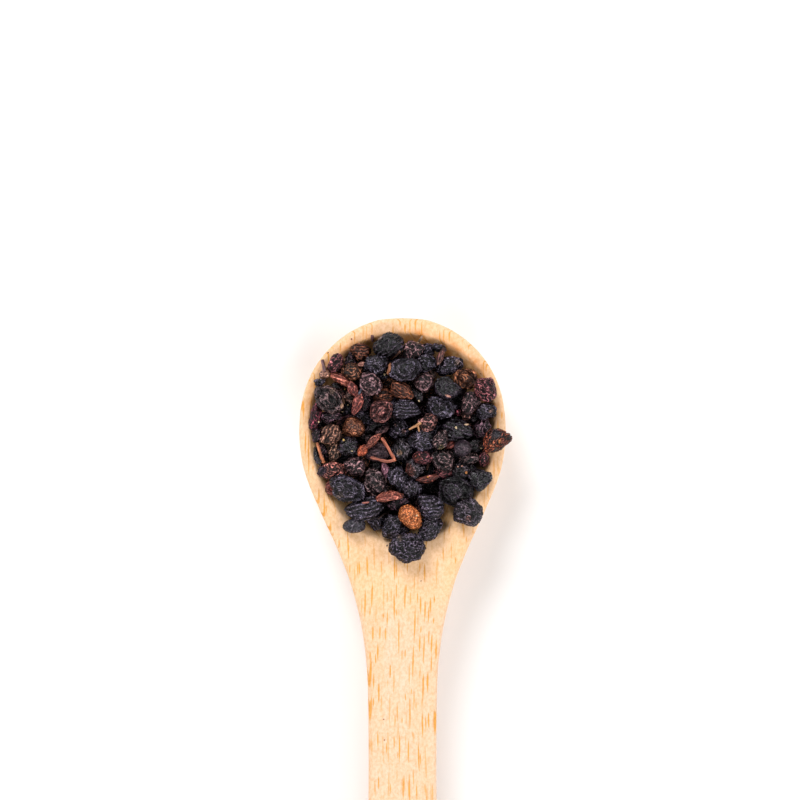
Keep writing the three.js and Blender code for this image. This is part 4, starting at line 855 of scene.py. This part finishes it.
WOOD_PALE = (0.88, 0.605, 0.43)
WOOD_WARM = (0.875, 0.57, 0.36)
WOOD_FIBRE = (0.88, 0.54, 0.3)
WOOD_DASH = (0.79, 0.355, 0.068)
WOOD_FLECK = (0.78, 0.42, 0.18)
# the painted shade under the heap
WOOD_HEAP_SHADE = (0.045, 0.018, 0.014)
WOOD_HOLLOW = (0.96, 0.57, 0.24)
WOOD_STAIN = (0.7, 0.25, 0.045)

STALK = stalk_material()
WOOD = wood_material()

# ---------------------------------------------------------------------------
# the spoon
# ---------------------------------------------------------------------------


def spoon_outline(step):
    """The outline as (x, y), clockwise from the tip, evenly spaced."""
    y_of = [y for w, y in OUTLINE]
    w_of = [w for w, y in OUTLINE]
    t = np.r_[0, np.cumsum(np.hypot(np.diff(w_of), np.diff(y_of)))]
    fine = np.arange(0, t[-1], step)
    wx, wy = curve_open(t, w_of)(fine), curve_open(t, y_of)(fine)
    right = [(float(a), float(b)) for a, b in zip(wx, wy)]
    n = max(8, int(HANDLE_END_RADIUS * math.pi / 2 / step))
    y0 = HANDLE_END_Y + HANDLE_END_RADIUS
    last = right[-1]
    m = max(2, int(math.hypot(last[0] - HANDLE_END_RADIUS, last[1] - y0) / (step * 2)))
    for i in range(1, m):
        k = i / m
        right.append((last[0] + (HANDLE_END_RADIUS - last[0]) * k, last[1] + (y0 - last[1]) * k))
    for i in range(n + 1):
        a = i / n * math.pi / 2
        right.append((HANDLE_END_RADIUS * math.cos(a), y0 - HANDLE_END_RADIUS * math.sin(a)))
    right[0] = (0.0, right[0][1])
    right[-1] = (0.0, right[-1][1])
    return np.array(right + [(-x, y) for x, y in right[-2:0:-1]])


def curve_open(xs, ys):
    """A smooth curve through the points with free ends."""
    xs, ys = np.array(xs, float), np.array(ys, float)
    h = np.diff(xs)
    d = np.diff(ys) / h
    m = np.zeros(len(xs))
    m[1:-1] = (d[:-1] * h[1:] + d[1:] * h[:-1]) / (h[:-1] + h[1:])
    m[0], m[-1] = d[0], d[-1]

    def at(x):
        x = np.asarray(x, float)
        i = np.clip(np.searchsorted(xs, x) - 1, 0, len(xs) - 2)
        t = (x - xs[i]) / h[i]
        u = 1 - t
        return (
            (1 + 2 * t) * u * u * ys[i] + t * u * u * h[i] * m[i]
            + t * t * (3 - 2 * t) * ys[i + 1] + t * t * (t - 1) * h[i] * m[i + 1]
        )

    return at


def make_spoon():
    loop = spoon_outline(0.62)
    n = len(loop)
    spine = np.c_[np.zeros(n), np.clip(loop[:, 1], HANDLE_END_Y + HANDLE_END_RADIUS, SPINE_TOP_Y)]
    way = loop - spine
    length = np.linalg.norm(way, axis=1)
    # where the hollow's edge crosses each line from the spine to the outline
    ts = np.linspace(0.02, 1, 200)
    px = spine[:, 0, None] + way[:, 0, None] * ts
    py = spine[:, 1, None] + way[:, 1, None] * ts
    inside = hollow_share(px, py) < 1
    edge = np.where(inside.any(1), ts[199 - inside[:, ::-1].argmax(1)], 0.55)
    edge = np.clip(edge, 0.55, 0.94)
    k = np.ones(9) / 9
    edge = np.convolve(np.r_[edge[-4:], edge, edge[:4]], k, "valid")
    inner, rim, turn = 30, 7, 7

    def roll(d, r):
        return np.where(d >= r, 0, r - np.sqrt(np.maximum(r * r - (r - np.minimum(d, r)) ** 2, 0)))

    rings = []
    for j in range(inner + 1):
        # closer together towards the hollow's edge
        rings.append(edge * (1 - (1 - j / inner) ** 1.25))
    outer = 1 - TOP_ROUND / length
    outer = np.maximum(outer, edge + 0.02)
    for j in range(1, rim + 1):
        rings.append(edge + (outer - edge) * j / rim)
    for j in range(1, turn + 1):
        a = j / turn * math.pi / 2
        rings.append(outer + (1 - outer) * math.sin(a))
    tops = []
    for s in rings:
        x, y = spine[:, 0] + way[:, 0] * s, spine[:, 1] + way[:, 1] * s
        tops.append(np.c_[x, y, top_height(x, y) - roll((1 - s) * length, TOP_ROUND)])
    low = []
    inner_b = np.maximum(0.6, 1 - BOTTOM_ROUND / length)
    for j in range(23):
        s = inner_b * j / 22
        x, y = spine[:, 0] + way[:, 0] * s, spine[:, 1] + way[:, 1] * s
        low.append(np.c_[x, y, bottom_height(x, y)])
    for j in range(1, turn + 1):
        s = inner_b + (1 - inner_b) * math.sin(j / turn * math.pi / 2)
        x, y = spine[:, 0] + way[:, 0] * s, spine[:, 1] + way[:, 1] * s
        low.append(np.c_[x, y, bottom_height(x, y) + roll((1 - s) * length, BOTTOM_ROUND)])
    a, b = tops[-1], low[-1]
    sides = [a + (b - a) * j / 4 for j in (1, 2, 3)]
    layers = tops + sides + low[::-1]
    verts = np.concatenate(layers)
    faces = []
    for r in range(len(layers) - 1):
        for i in range(n):
            j = (i + 1) % n
            faces.append([r * n + i, r * n + j, (r + 1) * n + j, (r + 1) * n + i])
    # worn, hand-sanded surface: a little unevenness
    verts[:, 2] += np.where(verts[:, 2] > 0.4, 0.035 * noise(verts * np.array([0.22, 0.09, 0.22]), 5), 0)
    x, y, z = verts.T
    q = hollow_share(x, y)
    up = (np.arange(len(verts)) // n) < len(tops)
    ang = np.degrees(np.arctan2(y, x))
    near = 0.85 * np.exp(-(((q - 1.0) / 0.05) ** 2)) + 0.9 * np.exp(-(((q - 0.91) / 0.08) ** 2))
    where = smooth_step((y + 4) / 12) * 0.9 + 0.35 * smooth_step((x + 2) / 8) * (y < 0) * (y > -14)
    stain = np.clip(near * where * (0.5 + 0.9 * np.clip(noise(verts * 0.45, 9) + 0.25, 0, 1)), 0, 0.8) * up
    hollow = np.maximum(smooth_step((1.0 - q) / 0.06), 0.42 * smooth_step((1.75 - q) / 0.3)) * up
    # painted shade: the hollow's floor under the heap, inside this line, is painted near black
    line = 0.85 - 0.24 * smooth_step((y - 3) / 5) + 0.085 * smooth_step((y + 10) / 4) * smooth_step((9 - y) / 4) + 0.05 * noise(verts * 0.35, 12)
    heap_shade = smooth_step((line - q) / 0.10) * up
    o = mesh_object("carved_spoon", verts, faces, [WOOD], floats={"stain": stain, "hollow": hollow, "heap_shade": heap_shade, "depth": z - top_plane(y)})
    bm = bmesh.new()
    bm.from_mesh(o.data)
    bmesh.ops.remove_doubles(bm, verts=bm.verts, dist=1e-6)
    bmesh.ops.dissolve_degenerate(bm, edges=bm.edges, dist=1e-7)
    bmesh.ops.recalc_face_normals(bm, faces=bm.faces)
    for f in bm.faces:
        f.smooth = True
    bm.to_mesh(o.data)
    bm.free()
    return o


spoon = make_spoon()
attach(spoon, "root")
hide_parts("spoon")

# ---------------------------------------------------------------------------
# the berries
# ---------------------------------------------------------------------------


def folds(p, seed, warp=0.35):
    """Raised wrinkles: 1 along their crests, 0 in the hollows between."""
    w = np.c_[noise(p * 0.7 + 11.3, seed + 1), noise(p * 0.7 + 5.7, seed + 2), noise(p * 0.7 - 3.1, seed + 3)]
    q = p + warp * w
    a = smooth_step(1 - np.abs(noise(q, seed + 4)) / 0.155)
    b = smooth_step(1 - np.abs(noise(q * 1.25 + 2.3, seed + 5)) / 0.125)
    return np.clip(np.maximum(a, 0.8 * b), 0, 1)


# mesh edge and growth for: buried, mostly hidden, half hidden, on top
MESH_EDGE = (0.30, 0.120, 0.098, 0.086)
GROWTH = (1.04, 1.20, 1.09, 1.10)


def make_berry(row, number):
    cx, cy, cz, la, lb, lc, turn, kind, seen = row
    up, longer, wider = FULLER.get(number, (0, 1, 1))
    cz, la, lb = cz + up, la * longer, lb * wider
    form, low_tone_and_shade_c, ridge_tone_and_highlight_c, pitch, height, skin = KINDS[kind]
    size = (la * lb * lc) ** (1 / 3)
    n, faces = ball(max(8, round(1.107 * (0.6 * la + 0.4 * lb) / MESH_EDGE[seen])))
    n = n.copy()
    rng = np.random.default_rng(1000 + number)
    grow = GROWTH[seen]
    ax = np.array([la, lb, lc]) * grow
    off = rng.uniform(-40, 40, 3)
    r = np.ones(len(n))
    # flats and dents where the flesh has shrunk
    amount = {"net": 0.75, "long": 0.7, "smooth": 0.3, "cup": 0.5, "slim": 0.3}[form]
    for _ in range(6):
        d = rng.normal(size=3)
        d /= np.linalg.norm(d)
        h = rng.uniform(0.70, 0.88)
        over = n @ d - h
        over = (over + np.sqrt(over * over + 0.004)) / 2
        n = n - d * (over * amount)[:, None]
    base = n / np.linalg.norm(n, axis=1, keepdims=True)
    lump = noise(base * 1.25 + off, number)
    r += {"net": 0.14, "long": 0.13, "smooth": 0.06, "cup": 0.09, "slim": 0.12}[form] * lump
    r += {"net": 0.05, "long": 0.05, "smooth": 0.02, "cup": 0.03, "slim": 0.04}[form] * noise(base * 2.9 + off, number + 7)
    # deep creases from end to end
    stretch = np.array([0.42, 1.0, 1.0]) if form in ("net", "long", "slim") else np.array([0.8, 1, 1])
    q = base * ax * stretch * (0.8 / max(size, 0.9)) + off
    crease = np.exp(-((noise(q, number + 13) / 0.085) ** 2)) * smooth_step(0.5 + 1.4 * noise(base * 1.1 - off, number + 15))
    deep = {"net": 0.10, "long": 0.13, "smooth": 0.02, "cup": 0.06, "slim": 0.05}[form]
    r -= deep * crease
    p = n * ax * r[:, None]
    # thicker at one end and leaning over
    odd = {"net": 0.20, "long": 0.22, "smooth": 0.08, "cup": 0.12, "slim": 0.0}[form]
    end, lean, side = rng.uniform(-odd, odd), rng.uniform(-odd, odd), rng.uniform(-odd, odd)
    p[:, 1:] *= (1 + end * n[:, 0])[:, None]
    p[:, 0] += 0.6 * lean * p[:, 1]
    p[:, 0] *= 1 + side * n[:, 1]
    # fine wrinkles
    long_way = {"net": rng.uniform(0.45, 0.95), "long": 0.26, "smooth": 0.7, "cup": 0.8, "slim": 0.25}[form]
    s = np.array([long_way, 1, 1]) / (pitch * 1.5)
    tilt = rng.uniform(-0.5, 0.5) if form == "net" else 0.0
    c, t = math.cos(tilt), math.sin(tilt)
    turned = np.c_[p[:, 0] * c + p[:, 1] * t, -p[:, 0] * t + p[:, 1] * c, p[:, 2]]
    ridge = folds(turned * s + off, 50 + number % 37, 0.45)
    normal = n / ax
    normal /= np.linalg.norm(normal, axis=1, keepdims=True)
    fade = np.clip(1 - 0.8 * crease, 0, 1)
    p = p + normal * (1.35 * height * (ridge - 0.5) * (0.5 + 0.5 * fade))[:, None]
    if number in RIMMED:
        deep_, at, ripple = RIMMED[number]
        ox, oy = np.random.default_rng(7000 + number).uniform(-0.13, 0.13, 2)
        rho = np.hypot(p[:, 0] / ax[0] - ox, p[:, 1] / ax[1] - oy) * (1 + 0.20 * noise(base * 1.7 + off, number + 41))
        top = smooth_step(n[:, 2] / 0.3)
        groove = np.exp(-(((rho - (at - 0.20)) / 0.085) ** 2)) * (0.75 + 0.5 * noise(base * 2.3 - off, number + 43))
        rim = np.exp(-(((rho - at) / 0.055) ** 2))
        waves = 0.5 + 0.5 * np.cos(rho * 2 * math.pi * ripple + 2.2 * noise(base * 2.1 + off, number + 45))
        inside = smooth_step((at - 0.26 - rho) / 0.12)
        p[:, 2] += top * (deep_ * (-groove + 0.5 * rim) + 0.45 * deep_ * inside * (waves - 0.5))
        ridge = np.clip(ridge * (1 - 0.9 * top * np.clip(groove, 0, 1)) + top * (0.8 * rim + 0.5 * inside * (waves - 0.5)), 0, 1)
    if number in PLEATED:
        lean, gap, deep_ = PLEATED[number]
        c, t = math.cos(math.radians(lean)), math.sin(math.radians(lean))
        across = -p[:, 0] * t + p[:, 1] * c + 0.22 * noise(base * 2.0 + off, number + 47)
        crest = np.clip(1 - np.abs((across / gap) % 1 - 0.5) * 2 / 0.62, 0, 1)
        top = smooth_step((n[:, 2] + 0.1) / 0.4) * smooth_step(0.8 + noise(base * 1.6 - off, number + 49))
        p[:, 2] += deep_ * top * (crest - 0.5)
        ridge = np.clip(ridge * (1 - 0.75 * top) + top * crest * (0.8 + 0.3 * ridge), 0, 1)
    if form == "cup":
        # the top has sunk in: a raised rim round an oval floor
        rho = np.hypot(p[:, 0] / ax[0], p[:, 1] / ax[1])
        top = smooth_step(n[:, 2] / 0.25)
        sink = smooth_step((0.78 - rho) / 0.22)
        dome = smooth_step((0.50 - rho) / 0.22)
        p[:, 2] -= top * ax[2] * (0.42 * sink - 0.20 * dome)
        ridge = np.clip(ridge * (1 - 0.55 * top * sink * (1 - dome)), 0, 1)
    if form == "slim":
        # a curled strip of skin, narrowing to its ends
        u = p[:, 0] / ax[0]
        p[:, 1] *= 1 - 0.35 * u * u
        bend = rng.uniform(-0.22, 0.22)
        p[:, 1] += bend * ax[1] * 2 * (u * u - 0.4)
        p[:, 2] += rng.uniform(-0.25, 0.1) * ax[2] * (u * u - 0.3)
        groove = np.exp(-((p[:, 1] / ax[1] / 0.35) ** 2)) * smooth_step(n[:, 2] / 0.4)
        p[:, 2] -= 0.30 * ax[2] * groove
    # the crown where the flower was, at one end or on a side
    if form in ("net", "smooth", "long") and size > 1.05:
        d = rng.normal(size=3) * np.array([1.6, 0.7, 0.7])
        d /= np.linalg.norm(d)
        away = np.linalg.norm((base - d) * ax, axis=1) * (1 + 0.45 * noise(p * 1.6, number + 31))
        ring = np.exp(-(((away - 0.36) / 0.11) ** 2))
        pit = np.exp(-((away / 0.22) ** 2))
        p = p + normal * (0.10 * ring - 0.12 * pit)[:, None]
        ridge = np.clip(ridge * (1 - pit) + 0.7 * ring, 0, 1)
    a = math.radians(turn)
    c, t = math.cos(a), math.sin(a)
    p = np.c_[p[:, 0] * c - p[:, 1] * t, p[:, 0] * t + p[:, 1] * c, p[:, 2]] + np.array([cx, cy, cz])
    # the colour: the skin's two tones, darkened in the hollows, creases, grooves, pits and sunk floors as painted
    # shade, and lightened along the ridges and rims as painted highlight
    low_tone_and_shade_c, ridge_tone_and_highlight_c = np.array(low_tone_and_shade_c), np.array(ridge_tone_and_highlight_c)
    k = np.clip(ridge * (0.92 + 0.45 * noise(base * 2.2 - off, number + 3)), 0, 1.2)[:, None] ** 1.3
    k = k * (1 - 0.7 * crease[:, None])
    dark, light = {"net": (0.16, 2.25), "long": (0.4, 1.5), "smooth": (0.8, 1.4), "cup": (0.35, 1.75), "slim": (0.55, 1.4)}[form]
    tint = np.array([1.0, 0.90, 1.0])
    colour = (low_tone_and_shade_c * dark + (ridge_tone_and_highlight_c * light - low_tone_and_shade_c * dark) * k) * tint
    colour *= (1 + 0.28 * noise(base * 1.5 + off * 0.3, number + 21))[:, None]
    shade = 1 + rng.uniform(-0.12, 0.12)
    # painted shade: darker on the sides and where the skin faces down, lighter on top
    colour = colour * shade * (0.28 + 0.78 * smooth_step((n[:, 2] + 0.25) / 0.85))[:, None]
    # the patches are painted lighter on their ridges too, as painted highlight
    for berry, x, y, rad, tint in PATCHES:
        if berry == number:
            ragged = 1 + 0.3 * noise(p * 0.9, number + 61)
            d = np.hypot(p[:, 0] - x, p[:, 1] - y) / (rad * ragged)
            w = (smooth_step((1.25 - d) / 0.5) * (p[:, 2] > cz - 0.2 * lc) * (0.6 + 0.4 * ridge))[:, None]
            colour = colour * (1 - w) + np.array(tint) * (0.4 + 0.8 * ridge[:, None]) * w
    net = {"net": 1.0, "long": 0.7, "smooth": 0.45, "cup": 0.6, "slim": 0.4}[form]
    return p, faces, np.clip(ridge, 0, 1), np.clip(colour, 0, 1), skin, np.full(len(p), net)


def make_clump(name, slot, members):
    verts, faces, ridges, tones, nets, index = [], [], [], [], [], []
    at = 0
    order = ["satin", "gloss", "matt"]
    used = sorted({KINDS[BERRIES[m][7]][5] for m in members}, key=order.index)
    for m in members:
        p, f, ridge, tone, skin, net = make_berry(BERRIES[m], m)
        nets.append(net)
        verts.append(p)
        faces.append(f + at)
        ridges.append(ridge)
        tones.append(tone)
        index += [used.index(skin)] * len(f)
        at += len(p)
    o = mesh_object(
        "dried_" + name, np.concatenate(verts), np.concatenate(faces), [SKINS[u] for u in used],
        index, {"ridge": np.concatenate(ridges), "net": np.concatenate(nets)}, {"tone": np.concatenate(tones)},
    )
    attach(o, "root")
    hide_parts(name)
    return o


heap = [make_clump(*c) for c in CLUMPS]

# ---------------------------------------------------------------------------
# stalks, flakes of skin and crumbs
# ---------------------------------------------------------------------------


def all_faces(objs):
    verts, faces, at = [], [], 0
    for o in objs:
        verts += [tuple(v.co) for v in o.data.vertices]
        faces += [[i + at for i in p.vertices] for p in o.data.polygons]
        at = len(verts)
    return BVHTree.FromPolygons(verts, faces)


heap_surface = all_faces(heap + [spoon])


def surface_at(x, y):
    """Height of the heap or the wood at a point, in mm."""
    hit = heap_surface.ray_cast(Vector((x * MM, y * MM, 0.05)), Vector((0, 0, -1)))[0]
    return hit.z / MM if hit else 0.0


def laid_line(points, lift, steps=12):
    """A stiff line that lies on what is under it: it spans the gaps between."""
    p = np.array(points, float)
    t = np.r_[0, np.cumsum(np.linalg.norm(np.diff(p[:, :2], axis=0), axis=1))]
    s = np.linspace(0, t[-1], steps)
    x, y = np.interp(s, t, p[:, 0]), np.interp(s, t, p[:, 1])
    z = np.array([surface_at(a, b) for a, b in zip(x, y)])
    hull = []
    for i in range(steps):
        while len(hull) >= 2:
            a, b = hull[-2], hull[-1]
            if (z[b] - z[a]) * (s[i] - s[a]) <= (z[i] - z[a]) * (s[b] - s[a]):
                hull.pop()
            else:
                break
        hull.append(i)
    top = np.interp(s, s[hull], z[hull])
    top = np.maximum(z, np.minimum(top, z + 0.9))
    return np.c_[x, y, top + lift]


def trim_object(name, parts, material, stand_for=()):
    """Joins (vertices, faces, ridge, low colour, high colour) into one piece."""
    verts, faces, ridges, tones, at = [], [], [], [], 0
    for v, f, ridge, low, high in parts:
        verts.append(v)
        faces += [[i + at for i in q] for q in f]
        ridges.append(ridge)
        tones.append(np.array(low) + (np.array(high) - np.array(low)) * np.clip(ridge, 0, 1)[:, None])
        at += len(v)
    o = mesh_object(name, np.concatenate(verts), faces, [material], None,
                    {"ridge": np.concatenate(ridges)}, {"tone": np.concatenate(tones)})
    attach(o, "root")
    for s in stand_for:
        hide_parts(s)
    return o


def stalk(points, radius, low, high, seed, sides=12, taper=(0.85, 0.7), rough=0.22):
    v, f, ridge = tube(points, radius, sides, taper, seed, rough)
    return v, f, ridge, low, high


def knob(at, radius, low, high, seed, flat=0.8):
    n, f = ball(6)
    k = noise(n * 1.7 + seed * 3.3, seed)
    v = n * radius * (1 + 0.22 * k[:, None]) * np.array([1, 1, flat]) + np.array(at)
    return v, f.tolist(), 0.5 + 0.5 * k, low, high


def follow(path, lift):
    """The stalk's own line, kept just above the berries that it lies on."""
    p = np.array(path, float)
    z = np.array([surface_at(a, b) for a, b in p[:, :2]]) + lift
    p[:, 2] = np.maximum(p[:, 2], np.minimum(z, p[:, 2] + 0.8))
    return p


SALMON = ((0.25, 0.060, 0.038), (0.72, 0.25, 0.145))
ORANGE = ((0.26, 0.065, 0.03), (0.62, 0.24, 0.11))
PALE = ((0.34, 0.15, 0.07), (0.78, 0.45, 0.23))
TAN_STALK = ((0.16, 0.045, 0.032), (0.50, 0.175, 0.115))

p = follow(BENT_STALK, 0.20)
trim_object("dried_bent_stalk", [
    stalk(p[:7], 0.24, *SALMON, 31), stalk(p[6:], 0.20, *TAN_STALK, 32), knob(p[6], 0.28, *SALMON, 3),
], STALK, ["bent_stalk"])
p = follow(SHORT_STALK, 0.18)
trim_object("dried_short_stalk", [stalk(p, 0.21, *ORANGE, 33), knob(p[-1], 0.25, *ORANGE, 4)], STALK, ["short_stalk"])
p, b = follow(FORK_MAIN, 0.15), follow(FORK_BRANCH, 0.13)
trim_object("dried_forked_stalk", [stalk(p, 0.17, *PALE, 34), stalk(b, 0.13, *PALE, 35), knob(p[-1], 0.22, *PALE, 5)],
            STALK, ["forked_stalk"])

# x, y along each loose bit of stalk, its radius, its two colours
STICKS = [
    ([(-1.71, 11.45), (-0.39, 12.54)], 0.234, (0.1, 0.04, 0.03), (0.42, 0.22, 0.17)),
    ([(2.33, 13.87), (3.11, 15.03)], 0.156, (0.02, 0.015, 0.015), (0.4, 0.28, 0.2)),
    ([(-4.75, 15.11), (-4.67, 14.18)], 0.203, (0.05, 0.02, 0.03), (0.22, 0.11, 0.12)),
    ([(-2.26, 9.12), (-2.02, 9.98), (-1.87, 10.75)], 0.234, (0.14, 0.04, 0.02), (0.55, 0.24, 0.12)),
    ([(-12.52, 11.22), (-12.29, 10.29), (-12.13, 9.51)], 0.234, (0.05, 0.02, 0.03), (0.26, 0.15, 0.16)),
    ([(-9.33, 10.29), (-9.02, 11.38)], 0.172, (0.2, 0.1, 0.06), (0.55, 0.36, 0.24)),
    ([(3.78, -5.96), (4.12, -5.03)], 0.172, (0.22, 0.09, 0.07), (0.62, 0.36, 0.3)),
    ([(-3.81, -13.51), (-2.72, -12.73), (-1.79, -12.26)], 0.141, (0.02, 0.012, 0.012), (0.12, 0.07, 0.06)),
    ([(-6.22, -11.02), (-5.21, -10.86)], 0.141, (0.22, 0.05, 0.05), (0.55, 0.22, 0.18)),
]
trim_object("loose_stalk_bits", [
    stalk(laid_line(pts, r * 0.8), r, low, high, 40 + i, 9) for i, (pts, r, low, high) in enumerate(STICKS)
], STALK)


def flake(x, y, half_long, half_wide, turn, low, high, seed):
    """A thin curled scrap of berry skin, lying on what is under it."""
    n, m = 22, 14
    u, w = np.meshgrid(np.linspace(-1, 1, n), np.linspace(-1, 1, m), indexing="ij")
    rag = 1 + 0.22 * noise(np.c_[np.arctan2(w, u).ravel() * 1.6, np.full(n * m, seed), 0 * u.ravel()], seed).reshape(u.shape)
    a = u * np.sqrt(np.maximum(0.0, 1 - 0.5 * w * w)) * rag * half_long
    b = w * np.sqrt(np.maximum(0.0, 1 - 0.5 * u * u)) * rag * half_wide
    c, s = math.cos(math.radians(turn)), math.sin(math.radians(turn))
    px, py = x + a * c - b * s, y + a * s + b * c
    ground = np.array([surface_at(i, j) for i, j in zip(px.ravel(), py.ravel())])
    level = np.percentile(ground, 70)
    curl = 0.22 * (u * u + 0.7 * w * w) * half_wide + 0.05 * noise(np.c_[px.ravel(), py.ravel(), ground * 0] * 2.2, seed).reshape(u.shape)
    pz = np.maximum(ground, level - 0.35).reshape(u.shape) * 0.5 + level * 0.5 + 0.07 + curl
    top = np.stack([px, py, pz], -1).reshape(-1, 3)
    edge = np.clip(1 - np.maximum(np.abs(u), np.abs(w)) ** 6, 0.15, 1).reshape(-1, 1)
    verts = np.concatenate([top, top - np.array([0, 0, 0.09]) * edge])
    k = 0.5 + 0.5 * noise(np.concatenate([top, top]) * np.array([4.0, 4.0, 1.0]), seed + 1)
    faces = []
    at = lambda i, j: i * m + j
    for i in range(n - 1):
        for j in range(m - 1):
            faces.append([at(i, j), at(i + 1, j), at(i + 1, j + 1), at(i, j + 1)])
            faces.append([n * m + at(i, j), n * m + at(i, j + 1), n * m + at(i + 1, j + 1), n * m + at(i + 1, j)])
    rim = [at(i, 0) for i in range(n)] + [at(n - 1, j) for j in range(1, m)] + [at(i, m - 1) for i in range(n - 2, -1, -1)] + [at(0, j) for j in range(m - 2, 0, -1)]
    for i, v in enumerate(rim):
        w2 = rim[(i + 1) % len(rim)]
        faces.append([w2, v, n * m + v, n * m + w2])
    return verts, faces, k, low, high


# centre x, y, half-length, half-width, turn, its two colours
FLAKES = [
    (-6.38, 10.6, 0.62, 0.33, 15, (0.2, 0.06, 0.05), (0.6, 0.33, 0.27)),
    (7.07, 5.62, 0.5, 0.17, -20, (0.25, 0.09, 0.07), (0.6, 0.33, 0.27)),
    (10, 1.19, 0.37, 0.14, 0, (0.4, 0.25, 0.15), (0.72, 0.55, 0.4)),
    (-9.26, 4.84, 0.2, 0.47, 10, (0.16, 0.08, 0.05), (0.48, 0.3, 0.2)),
    (-9.41, 4.07, 0.22, 0.41, -15, (0.18, 0.09, 0.06), (0.52, 0.33, 0.22)),
    (-6.61, 6.32, 0.17, 0.53, -25, (0.03, 0.035, 0.06), (0.16, 0.18, 0.26)),
]
trim_object("loose_skin_flakes", [flake(*f, 60 + i) for i, f in enumerate(FLAKES)], STALK)

# centre x, y, radius, colour
CRUMBS = [
    (8.32, 0.72, 0.2, (0.72, 0.58, 0.36)),
    (-9.18, -1.22, 0.17, (0.72, 0.5, 0.16)),
    (-7.86, -2.93, 0.19, (0.72, 0.58, 0.36)),
    (-2.8, 8.97, 0.17, (0.72, 0.58, 0.36)),
    (-2.65, 9.51, 0.14, (0.72, 0.58, 0.36)),
    (-9.41, 3.13, 0.17, (0.72, 0.58, 0.36)),
    (-9.02, 6.71, 0.17, (0.72, 0.5, 0.16)),
    (-13.07, 1.58, 0.16, (0.72, 0.58, 0.36)),
    (-8.56, 4.22, 0.16, (0.72, 0.58, 0.36)),
    (2.56, 4.84, 0.19, (0.72, 0.58, 0.36)),
    (9.91, -6.31, 0.2, (0.55, 0.22, 0.06)),
    (8.63, -5.42, 0.17, (0.5, 0.25, 0.2)),
    (9.25, -5.27, 0.16, (0.5, 0.25, 0.2)),
    (-0.16, -4.95, 0.17, (0.72, 0.58, 0.36)),
    (2.18, -12.93, 0.16, (0.72, 0.58, 0.36)),
    (2.41, -15.89, 0.16, (0.72, 0.58, 0.36)),
    (3.96, -6.98, 0.19, (0.65, 0.25, 0.06)),
    (12.29, -2.54, 0.16, (0.72, 0.58, 0.36)),
    (-11.64, 12.42, 0.14, (0.35, 0.12, 0.05)),
    (-13.52, 10.47, 0.12, (0.3, 0.12, 0.06)),
    (-7.97, 14.53, 0.14, (0.3, 0.1, 0.05)),
    (-13.98, 9.77, 0.11, (0.4, 0.2, 0.1)),
    (12.19, 9.14, 0.12, (0.35, 0.15, 0.08)),
    (-2.42, -17.73, 0.16, (0.03, 0.02, 0.02)),
    (2.89, -23.28, 0.12, (0.35, 0.15, 0.06)),
    (-2.95, -45, 0.11, (0.3, 0.12, 0.05)),
    (-2.83, -48.28, 0.11, (0.3, 0.12, 0.05)),
]
crumbs = []
for i, (x, y, r, c) in enumerate(CRUMBS):
    n, f = ball(3)
    k = noise(n * 1.5 + i * 2.7, 80 + i)
    rng = np.random.default_rng(500 + i)
    stretch = np.array([1.0, rng.uniform(0.6, 1.0), rng.uniform(0.45, 0.7)])
    turn = rng.uniform(0, math.pi)
    v = n * r * (1 + 0.35 * k[:, None]) * stretch
    v = np.c_[v[:, 0] * math.cos(turn) - v[:, 1] * math.sin(turn), v[:, 0] * math.sin(turn) + v[:, 1] * math.cos(turn), v[:, 2]]
    v += np.array([x, y, surface_at(x, y) + r * 0.3])
    c = np.array(c)
    crumbs.append((v, f.tolist(), 0.5 + 0.5 * k, c * 0.7, c * 1.1))
trim_object("crumbs_and_dust", crumbs, STALK)

# ---------------------------------------------------------------------------
# floor, light and camera
# ---------------------------------------------------------------------------

bpy.ops.mesh.primitive_plane_add(size=6.0, location=(0, 0, -0.00002))
floor = bpy.context.object
floor.name = "floor"
m, nt, bsdf = new_material("pale_paper")
mottle = tex_noise(nt, object_point(nt, (0.02, 0.02, 0.02)), 2.0, 0.5)
nt.links.new(ramp(nt, mottle, [(0.3, (0.93, 0.93, 0.93)), (0.7, (0.96, 0.96, 0.96))]), bsdf.inputs["Base Color"])
bsdf.inputs["Roughness"].default_value = 0.9
bsdf.inputs["Specular IOR Level"].default_value = 0.1
floor.data.materials.append(m)


def area_light(name, at, size, power, target=(0, 0, 0.01), colour=(1, 1, 1)):
    data = bpy.data.lights.new(name, "AREA")
    data.shape = "DISK"
    data.size = size
    data.energy = power
    data.color = colour
    o = bpy.data.objects.new(name, data)
    bpy.context.scene.collection.objects.link(o)
    o.location = at
    d = Vector(target) - Vector(at)
    o.rotation_euler = d.to_track_quat("-Z", "Y").to_euler()
    return o


area_light("key", (-0.30, 0.62, 0.62), 0.52, KEY_POWER)
area_light("fill_right", (0.75, 0.10, 0.55), 0.7, FILL_POWER * 1.8)
area_light("fill_left", (-0.75, -0.25, 0.55), 0.7, FILL_POWER)
area_light("fill_front", (0.15, -0.80, 0.60), 0.6, FILL_POWER * 1.9)

world = bpy.data.worlds.new("studio")
world.use_nodes = True
bg = world.node_tree.nodes["Background"]
bg.inputs["Color"].default_value = (1.0, 1.0, 1.0, 1)
bg.inputs["Strength"].default_value = WORLD
bpy.context.scene.world = world
bpy.context.scene.view_settings.view_transform = "Standard"

cam_data = bpy.data.cameras.new("camera")
cam = bpy.data.objects.new("camera", cam_data)
bpy.context.scene.collection.objects.link(cam)
cam_data.sensor_width = 36
cam_data.lens = 144
cam_data.clip_start = 0.01
cam_data.clip_end = 20
cam.location = (-0.390625 * MM, 5.0 * MM, 510.2 * MM)
cam.rotation_euler = (0, 0, 0)
bpy.context.scene.camera = cam
